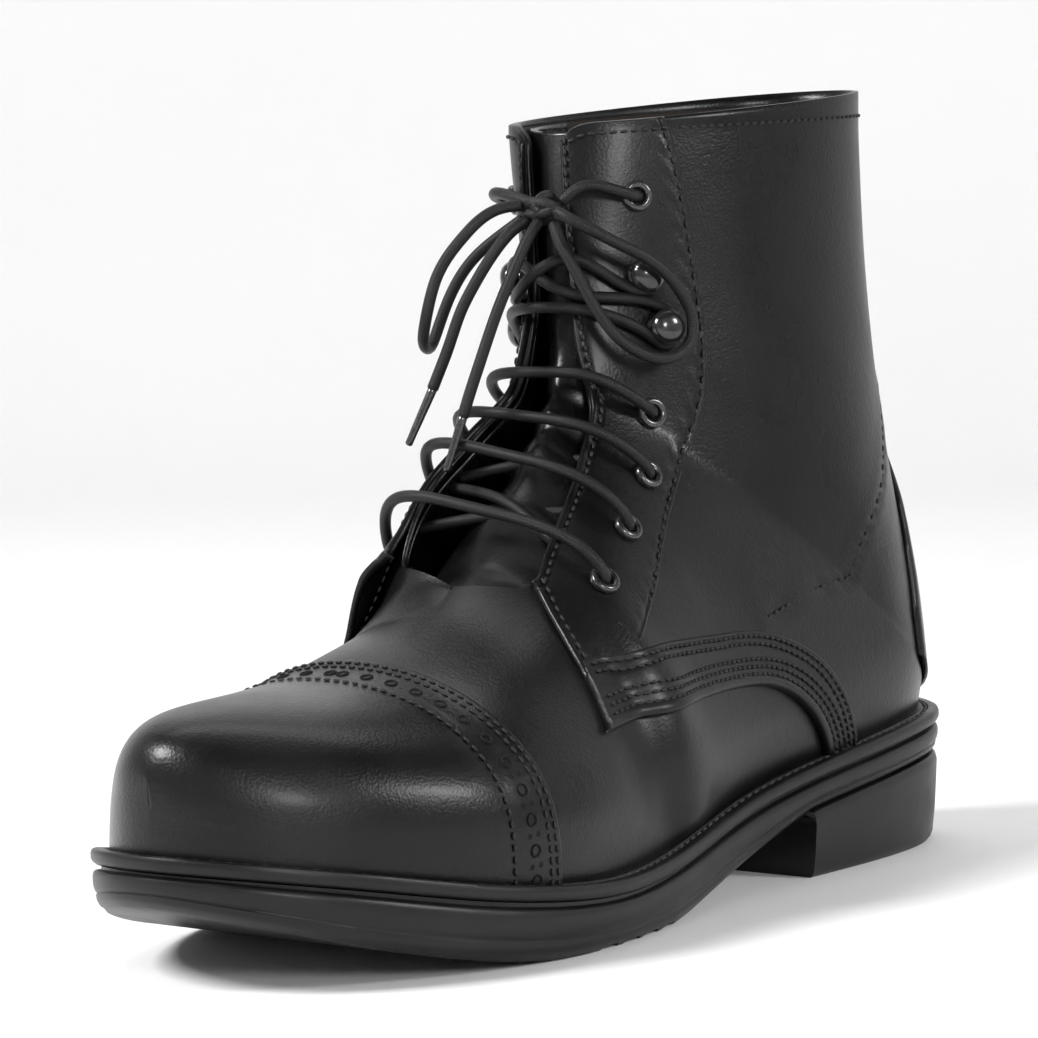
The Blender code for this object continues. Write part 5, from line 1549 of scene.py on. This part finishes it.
def make_crossing():
    """Lace that crosses between the hooks and lies round their necks."""
    high, low = BY_NAME["hook_upper"], BY_NAME["hook_lower"]
    routes = []
    for start, end, side in ((high, low, 1), (high, low, -1)):
        s0, _ = entry_place(start, side)
        s1, _ = entry_place(end, -side)
        first = round_hook(start, side, 100, 250)
        last = round_hook(end, -side, 170, 90)[:5]
        a = frame_point(s0 - 0.004, side, float(opening_share(s0, side)), OVER_EYELET - 0.0008)
        b = frame_point(s1 + 0.004, -side, float(opening_share(s1, -side)), OVER_EYELET - 0.0008)
        middle = arch_between(a, b, 0.5 * (s0 + s1)) + np.array([0.0006 * side, 0, 0])
        routes.append(first + [a, middle, b] + last[::-1])
    s, _ = entry_place(low, 1)
    inner = round_hook(low, 1, 170, 290)
    outer = round_hook(low, -1, 170, 290)
    a = frame_point(s - 0.016, 1, float(opening_share(s, 1)), OVER_EYELET - 0.0008)
    b = frame_point(s - 0.016, -1, float(opening_share(s, -1)), OVER_EYELET - 0.0008)
    routes.append(inner + [a, arch_between(a, b, s - 0.016), b] + outer[::-1])
    for index, route in enumerate(routes):
        piece = tube(f"hook_strand_{index}", smooth_route(route, LACE_SPACING), LACE_WIDTH, LACE_FINISH)
        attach(piece, "root")
        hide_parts("lace_crossing")


def make_tops():
    """Lace from the top eyelets to the knot."""
    entry = LACING[0]
    knot = np.array(KNOT_PLACE) * MM
    for label, side in SIDES:
        step, share = entry_place(entry, side)
        route = [
            frame_point(step, side, share + 0.003, -EYELET_DEPTH),
            frame_point(step, side, share, ON_LEATHER - EYELET_DIP),
            frame_point(step, side, share - 0.030, OVER_EYELET - 0.0006),
            frame_point(step, side, 0.5 * share, OVER_EYELET + 0.5 * LACE_ARCH),
            knot + np.array([-0.0014, side * 0.0050, 0.0016]),
        ]
        piece = tube(f"lace_top_strand_{label}", smooth_route(route, LACE_SPACING), LACE_WIDTH, LACE_FINISH)
        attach(piece, "root")
        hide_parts(f"lace_top_{label}")


def make_knot():
    """Knot of the bow: a wrap over two crossed turns."""
    knot = np.array(KNOT_PLACE) * MM
    turns = []
    angle = np.linspace(0, 2 * math.pi, 40)
    across = 0.0012 * np.sin(angle) + 0.0002 * angle
    wrap = np.stack([0.0030 * np.cos(angle), across, 0.0029 * np.sin(angle)], -1)
    turns.append(knot + wrap)
    for sign in (1, -1):
        t = np.linspace(-1, 1, 24)
        lobe = np.stack([
            0.0016 + 0.0012 * np.cos(t * math.pi / 2), 0.0050 * t, sign * (0.0014 - 0.0013 * t**2),
        ], -1)
        turns.append(knot + lobe)
    back = np.stack([-0.0020 * np.cos(t * math.pi / 2) - 0.0004, 0.0048 * t, -0.0006 * t], -1)
    turns.append(knot + back)
    pieces = []
    for index, path in enumerate(turns):
        piece = tube(f"knot_turn_{index}", smooth_route(path, 0.0006), LACE_WIDTH, LACE_FINISH)
        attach(piece, "root")
        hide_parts("lace_knot")
        pieces.append(piece)
    return pieces


def make_bow(knot_pieces):
    """Loops and ends of the bow, with a hard tip on each end."""
    for name, places, far_end in (
        ("loop_outer", LOOP_OUTER, "knot"),
        ("loop_inner", LOOP_INNER, "knot"),
        ("end_outer", END_OUTER, "fitting"),
        ("end_inner", END_INNER, "fitting"),
    ):
        path = smooth_route(np.array(places) * MM, 0.0008)
        piece = tube(f"lace_{name}_cord", path, LACE_WIDTH, LACE_FINISH)
        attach(piece, "root")
        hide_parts(f"lace_{name}")
        if far_end == "fitting":
            label = name.split("_")[1]
            tip_places = AGLET_OUTER if label == "outer" else AGLET_INNER
            tip_path = smooth_route(np.array(tip_places) * MM, 0.0008)
            share = np.linspace(0, 1, len(tip_path))
            widths = 0.0023 - 0.0005 * share
            tip = tube(f"aglet_{label}_tip", tip_path, 0.0022, AGLET_FINISH, widths)
            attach(tip, "root")
            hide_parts(f"aglet_{label}")
        tuple(path[0])
        [tuple(point) for point in path]


# Stitches and perforations
def repeat_tree():
    """Geometry Nodes that put one shape on each point, along its run and out of its surface."""
    tree = bpy.data.node_groups.new("row_of_shapes", "GeometryNodeTree")
    tree.interface.new_socket("Geometry", in_out="INPUT", socket_type="NodeSocketGeometry")
    for name, kind, value in (
        ("Shape", "NodeSocketObject", None), ("Length", "NodeSocketFloat", 1.0),
        ("Width", "NodeSocketFloat", 1.0), ("Height", "NodeSocketFloat", 1.0),
        ("Seed", "NodeSocketInt", 7), ("Wander", "NodeSocketFloat", 0.05),
        ("Finish", "NodeSocketMaterial", None),
    ):
        socket = tree.interface.new_socket(name, in_out="INPUT", socket_type=kind)
        if value is not None:
            socket.default_value = value
    tree.interface.new_socket("Geometry", in_out="OUTPUT", socket_type="NodeSocketGeometry")
    nodes, links = tree.nodes, tree.links
    start = nodes.new("NodeGroupInput")
    end = nodes.new("NodeGroupOutput")
    shape = nodes.new("GeometryNodeObjectInfo")
    links.new(start.outputs["Shape"], shape.inputs["Object"])
    turned = None
    for attribute, axis, pivot in (("out", "Z", "AUTO"), ("along", "X", "Z")):
        read = nodes.new("GeometryNodeInputNamedAttribute")
        read.data_type = "FLOAT_VECTOR"
        read.inputs["Name"].default_value = attribute
        align = nodes.new("FunctionNodeAlignRotationToVector")
        align.axis = axis
        align.pivot_axis = pivot
        links.new(read.outputs["Attribute"], align.inputs["Vector"])
        if turned is not None:
            links.new(turned, align.inputs["Rotation"])
        turned = align.outputs["Rotation"]
    vary = nodes.new("FunctionNodeRandomValue")
    vary.data_type = "FLOAT"
    links.new(start.outputs["Seed"], vary.inputs["Seed"])
    one_less = nodes.new("ShaderNodeMath")
    one_less.operation = "SUBTRACT"
    one_less.inputs[0].default_value = 1.0
    links.new(start.outputs["Wander"], one_less.inputs[1])
    float_in = [socket for socket in vary.inputs if socket.type == "VALUE" and socket.enabled]
    links.new(one_less.outputs[0], float_in[0])
    float_in[1].default_value = 1.0
    size = nodes.new("ShaderNodeCombineXYZ")
    for name, socket in (("Length", "X"), ("Width", "Y"), ("Height", "Z")):
        scaled = nodes.new("ShaderNodeMath")
        scaled.operation = "MULTIPLY"
        links.new(start.outputs[name], scaled.inputs[0])
        links.new([s for s in vary.outputs if s.type == "VALUE" and s.enabled][0], scaled.inputs[1])
        links.new(scaled.outputs[0], size.inputs[socket])
    place = nodes.new("GeometryNodeInstanceOnPoints")
    links.new(start.outputs["Geometry"], place.inputs["Points"])
    links.new(shape.outputs["Geometry"], place.inputs["Instance"])
    links.new(turned, place.inputs["Rotation"])
    links.new(size.outputs[0], place.inputs["Scale"])
    real = nodes.new("GeometryNodeRealizeInstances")
    finish = nodes.new("GeometryNodeSetMaterial")
    links.new(place.outputs["Instances"], real.inputs["Geometry"])
    links.new(real.outputs["Geometry"], finish.inputs["Geometry"])
    links.new(start.outputs["Finish"], finish.inputs["Material"])
    links.new(finish.outputs["Geometry"], end.inputs["Geometry"])
    return tree


def small_shape(name, profile, segments):
    """Unit shape of a stitch or hole, kept only while rows are made from it."""
    shape = lathe(name, profile, segments, Matrix.Identity(4), None, 60)
    SCRAP.append(shape)
    return shape


ROW_TREE = repeat_tree()
STITCH_SHAPE = small_shape(
    "stitch_shape", [(0.0, -0.25), (0.36, -0.2), (0.5, 0.0), (0.42, 0.28), (0.24, 0.44), (0.0, 0.5)], 8
)
HOLE_SHAPE = small_shape(
    "hole_shape",
    [(0.5, -0.5), (0.5, 0.25), (0.43, 0.5), (0.36, 0.35), (0.30, -0.30), (0.0, -0.42), (0.0, -0.5)], 14,
)
PIT_SHAPE = small_shape("pit_shape", [(0.5, 0.0), (0.0, 0.02), (0.0, -0.5)], 12)


def row_piece(name, rows, shape, length, width, height, finish, wander=0.06):
    """One mesh with a shape at each point. rows hold points, run directions and outward directions."""
    points = np.concatenate([row[0] for row in rows])
    along = np.concatenate([row[1] for row in rows])
    out = np.concatenate([row[2] for row in rows])
    mesh = bpy.data.meshes.new(name)
    mesh.from_pydata(to_frame(points).tolist(), [], [])
    for attribute, values in (("along", along), ("out", out)):
        layer = mesh.attributes.new(attribute, "FLOAT_VECTOR", "POINT")
        layer.data.foreach_set("vector", np.asarray(values, np.float32).ravel())
    piece = new_object(name, mesh)
    modifier = piece.modifiers.new("row", "NODES")
    modifier.node_group = ROW_TREE
    values = {
        "Shape": shape, "Length": length, "Width": width, "Height": height, "Seed": 11, "Wander": wander,
        "Finish": finish,
    }
    for item in ROW_TREE.interface.items_tree:
        if item.in_out == "INPUT" and item.name in values:
            modifier[item.identifier] = values[item.name]
    apply_modifiers(piece)
    piece.data.shade_smooth()
    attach(piece, "root")
    return piece


def spaced(step, share, side, lift, pitch):
    """Evenly spaced places on the leather along a line of steps and shares, with their directions."""
    fine = np.linspace(0, 1, 400)
    base = np.linspace(0, 1, len(step))
    step = np.interp(fine, base, step)
    share = np.interp(fine, base, share)
    path = skin(step, side, share, lift)
    length = np.concatenate([[0], np.cumsum(np.linalg.norm(np.diff(path, axis=0), axis=1))])
    count = max(2, int(length[-1] / pitch))
    at = (np.arange(count) + 0.5) / count * length[-1]
    even = np.interp(at, length, fine)
    step = np.interp(even, fine, step)
    share = np.interp(even, fine, share)
    points = skin(step, side, share, lift)
    small = 0.002
    by_step = skin(step + small, side, share, 0.0) - skin(step - small, side, share, 0.0)
    by_share = skin(step, side, share + small, 0.0) - skin(step, side, share - small, 0.0)
    out = unit(np.cross(by_share, by_step) * side)
    run = unit(np.gradient(points, axis=0))
    return points, run, out


def column_at(step, share, side, distance, from_last=False):
    """Line at a distance from the first or last column of a grid."""
    points = section(step, side, share)
    _, _, near, far = grid_distances(points)
    away = far if from_last else near
    order = -1 if from_last else 1
    lines = []
    for i in range(len(step)):
        lines.append((
            np.interp(distance, away[i][::order], step[i][::order]),
            np.interp(distance, away[i][::order], share[i][::order]),
        ))
    lines = np.array(lines)
    return lines[:, 0], lines[:, 1]


def row_at(step, share, side, distance, from_last=False):
    """Line at a distance from the first or last row of a grid."""
    points = section(step, side, share)
    down, rest, _, _ = grid_distances(points)
    away = rest if from_last else down
    order = -1 if from_last else 1
    lines = []
    for j in range(step.shape[1]):
        lines.append((
            np.interp(distance, away[:, j][::order], step[:, j][::order]),
            np.interp(distance, away[:, j][::order], share[:, j][::order]),
        ))
    lines = np.array(lines)
    return lines[:, 0], lines[:, 1]


def make_stitches():
    """Rows of stitches along the edges and seams of the leather."""
    rows = []
    on_layer = LAYER + THREAD_HEIGHT
    for _, side in SIDES:
        step, share = facing_layout(side)
        opening = column_at(step, share, side, EDGE_ROW)
        rows.append(spaced(opening[0][6:-3], opening[1][6:-3], side, on_layer, FINE_PITCH))
        seam = column_at(step, share, side, SEAM_ROW, True)
        keep = seam[0] > 0.47
        rows.append(spaced(seam[0][keep], seam[1][keep], side, LAYER * 0.8, SEAM_PITCH))
        front = row_at(step, share, side, EDGE_ROW)
        rows.append(spaced(front[0][6:-8], front[1][6:-8], side, on_layer, FINE_PITCH))
        collar = row_at(step, share, side, COLLAR_ROW, True)
        rows.append(spaced(collar[0][7:], collar[1][7:], side, on_layer, FINE_PITCH))
        share_back = np.linspace(float(collar[1][-1]) + 0.02, 0.95, 60)
        rows.append(spaced(np.full(60, collar[0][-1]), share_back, side, THREAD_HEIGHT, FINE_PITCH))
        seam_step, seam_share = counter_line(60)
        rows.append(spaced(seam_step, seam_share, side, -THREAD_HEIGHT, COUNTER_PITCH))
        step, share = strap_layout(side)
        for last, distances in ((False, STRAP_TOP_ROWS), (True, STRAP_LOWER_ROWS)):
            for distance in distances:
                line = column_at(step, share, side, distance, last)
                rows.append(spaced(line[0][4:-2], line[1][4:-2], side, LAYER + 0.0004, STRAP_PITCH))
        for cap_step in (CAP_FRONT_STEP, CAP_STEP - CAP_ROWS[0], CAP_STEP - CAP_ROWS[1]):
            shares = np.linspace(0.0, 0.985, 80)
            rows.append(spaced(np.full(80, cap_step), shares, side, on_layer, FINE_PITCH))
    row_piece("leather_stitches", rows, STITCH_SHAPE, 0.0020, 0.0009, 0.0008, THREAD)


def make_perforations():
    """Band of the toe cap: one large ring hole, then a pair of small ones, in turn, as near black shapes:
    painted shade in the holes.
    """
    large = []
    small = []
    middle = 0.5 * (CAP_FRONT_STEP + CAP_STEP - CAP_ROWS[1])
    for _, side in SIDES:
        points, run, out = spaced(np.full(80, middle), np.linspace(0.0, 0.975, 80), side, LAYER, HOLE_PITCH)
        large.append((points[::2], run[::2], out[::2]))
        across = unit(np.cross(out, run))
        for shift in (0.0013, -0.0013):
            small.append((points[1::2] + shift * across[1::2], run[1::2], out[1::2]))
    # The holes are near black shapes set on the leather, not cut through it: painted shade.
    row_piece("cap_large_holes", large, HOLE_SHAPE, 0.0031, 0.0031, 0.0007, PAINTED_HOLE_SHADE, 0.0)
    row_piece("cap_small_holes", small, PIT_SHAPE, 0.0014, 0.0014, 0.0006, PAINTED_HOLE_SHADE, 0.0)


def make_welt_stitches():
    """Light dashes in the welt's groove, all round."""
    rows = []
    for side in (1, -1):
        tau = np.linspace(0.012, 0.988, 900)
        x, y = outline(tau, side, WELT_ROW)
        path = np.stack([x, y, seat_height(x) - 0.00045], -1)
        length = np.concatenate([[0], np.cumsum(np.linalg.norm(np.diff(path, axis=0), axis=1))])
        count = int(length[-1] / WELT_PITCH)
        at = (np.arange(count) + 0.5) / count * length[-1]
        points = np.stack([np.interp(at, length, path[:, k]) for k in range(3)], -1)
        run = unit(np.gradient(points, axis=0))
        out = unit(np.cross(np.cross(run, (0, 0, 1.0)), run))
        rows.append((points, run, out))
    row_piece("welt_stitches", rows, STITCH_SHAPE, 0.0026, 0.0011, 0.0010, WELT_THREAD)


def dress_insole():
    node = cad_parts["insole"]
    for slot in node.material_slots:
        slot.material = INSOLE_FINISH


# Camera, light and floor
CAMERA_TURN = 37.1
CAMERA_RISE = 4.1
CAMERA_ROLL = -1.0
CAMERA_AWAY = 0.966
AIM_HEIGHT = 0.090
FRAME_PIXELS = 1038.0
PHOTO_FOCUS = 2200.0
PHOTO_ZOOM = 1.87
AIM_PIXEL = (792.9, 517.4)
BOOT_PIXEL = (775.0, 517.0)
SENSOR = 36.0


def make_camera():
    turned, risen = math.radians(CAMERA_TURN), math.radians(CAMERA_RISE)
    aim = Vector((0.0, 0.0, AIM_HEIGHT))
    away = Vector((math.cos(turned) * math.cos(risen), math.sin(turned) * math.cos(risen), math.sin(risen)))
    data = bpy.data.cameras.new("camera")
    data.sensor_width = SENSOR
    data.lens = PHOTO_FOCUS * PHOTO_ZOOM / FRAME_PIXELS * SENSOR
    data.shift_x = (BOOT_PIXEL[0] - AIM_PIXEL[0]) * PHOTO_ZOOM / FRAME_PIXELS
    data.shift_y = -(BOOT_PIXEL[1] - AIM_PIXEL[1]) * PHOTO_ZOOM / FRAME_PIXELS
    data.clip_start = 0.05
    camera = bpy.data.objects.new("camera", data)
    bpy.context.scene.collection.objects.link(camera)
    look = (-away).to_track_quat("-Z", "Y").to_matrix().to_4x4()
    roll = Matrix.Rotation(math.radians(CAMERA_ROLL), 4, "Z")
    camera.matrix_world = Matrix.Translation(aim + CAMERA_AWAY * away) @ look @ roll
    bpy.context.scene.camera = camera


def area_light(name, place, aim, size, power, size_y=None):
    data = bpy.data.lights.new(name, "AREA")
    data.shape = "RECTANGLE"
    data.size = size
    data.size_y = size_y or size
    data.energy = power
    light = bpy.data.objects.new(name, data)
    bpy.context.scene.collection.objects.link(light)
    light.location = place
    light.rotation_euler = (Vector(aim) - Vector(place)).to_track_quat("-Z", "Y").to_euler()


def make_studio():
    area_light("key", (1.0, -0.55, 1.0), (0.0, 0.0, 0.08), 0.42, 30.0)
    area_light("front_fill", (0.75, 1.25, 0.60), (0.0, 0.0, 0.09), 0.30, 8.0)
    area_light("side_fill", (-0.38, 1.24, 0.75), (-0.03, 0.0, 0.11), 0.32, 9.0)
    area_light("top", (-0.2, -0.2, 1.6), (0.0, 0.0, 0.0), 1.2, 2.0)
    area_light("backdrop_wash", (-0.9, -0.7, 2.1), (-1.9, -1.45, 0.2), 1.6, 20.0)
    world = bpy.data.worlds.new("studio")
    world.use_nodes = True
    world.node_tree.nodes["Background"].inputs["Color"].default_value = (1.0, 1.0, 1.0, 1.0)
    world.node_tree.nodes["Background"].inputs["Strength"].default_value = 0.05
    bpy.context.scene.world = world
    bpy.context.scene.view_settings.view_transform = "Standard"


def make_floor():
    """Pale floor whose rim sweeps up all round into a backdrop."""
    flat, sweep, top = 1.5, 0.9, 2.6
    profile = [(0.0, 0.0), (0.5 * flat, 0.0), (flat, 0.0)]
    for angle in np.linspace(0, 0.5 * math.pi, 14)[1:]:
        profile.append((flat + sweep * math.sin(angle), sweep * (1 - math.cos(angle))))
    profile.append((flat + sweep, top))
    made, nodes, links, shader = base_material("pale_floor")
    place = nodes.new("ShaderNodeTexCoord").outputs["Object"]
    soft = noise_node(nodes, links, place, 2.0, 2.0)
    grey = mixed_colour(nodes, links, soft, (0.80, 0.80, 0.80), (0.84, 0.84, 0.84))
    links.new(grey, shader.inputs["Base Color"])
    shader.inputs["Roughness"].default_value = 0.7
    floor = lathe("floor", profile, 72, Matrix.Identity(4), made, 60)


make_camera()
make_bow(make_knot())
make_bars()
make_crossing()
make_tops()
make_under_strands()
make_floor()
make_studio()
make_upper()
make_lining()
make_toe_cap()
make_facings()
make_straps()
make_backstay()
make_spur_rest()
make_tongue()
make_welt()
make_outsole()
make_heel()
make_hardware()
make_stitches()
make_perforations()
make_welt_stitches()
dress_insole()
for shape in SCRAP:
    bpy.data.objects.remove(shape)
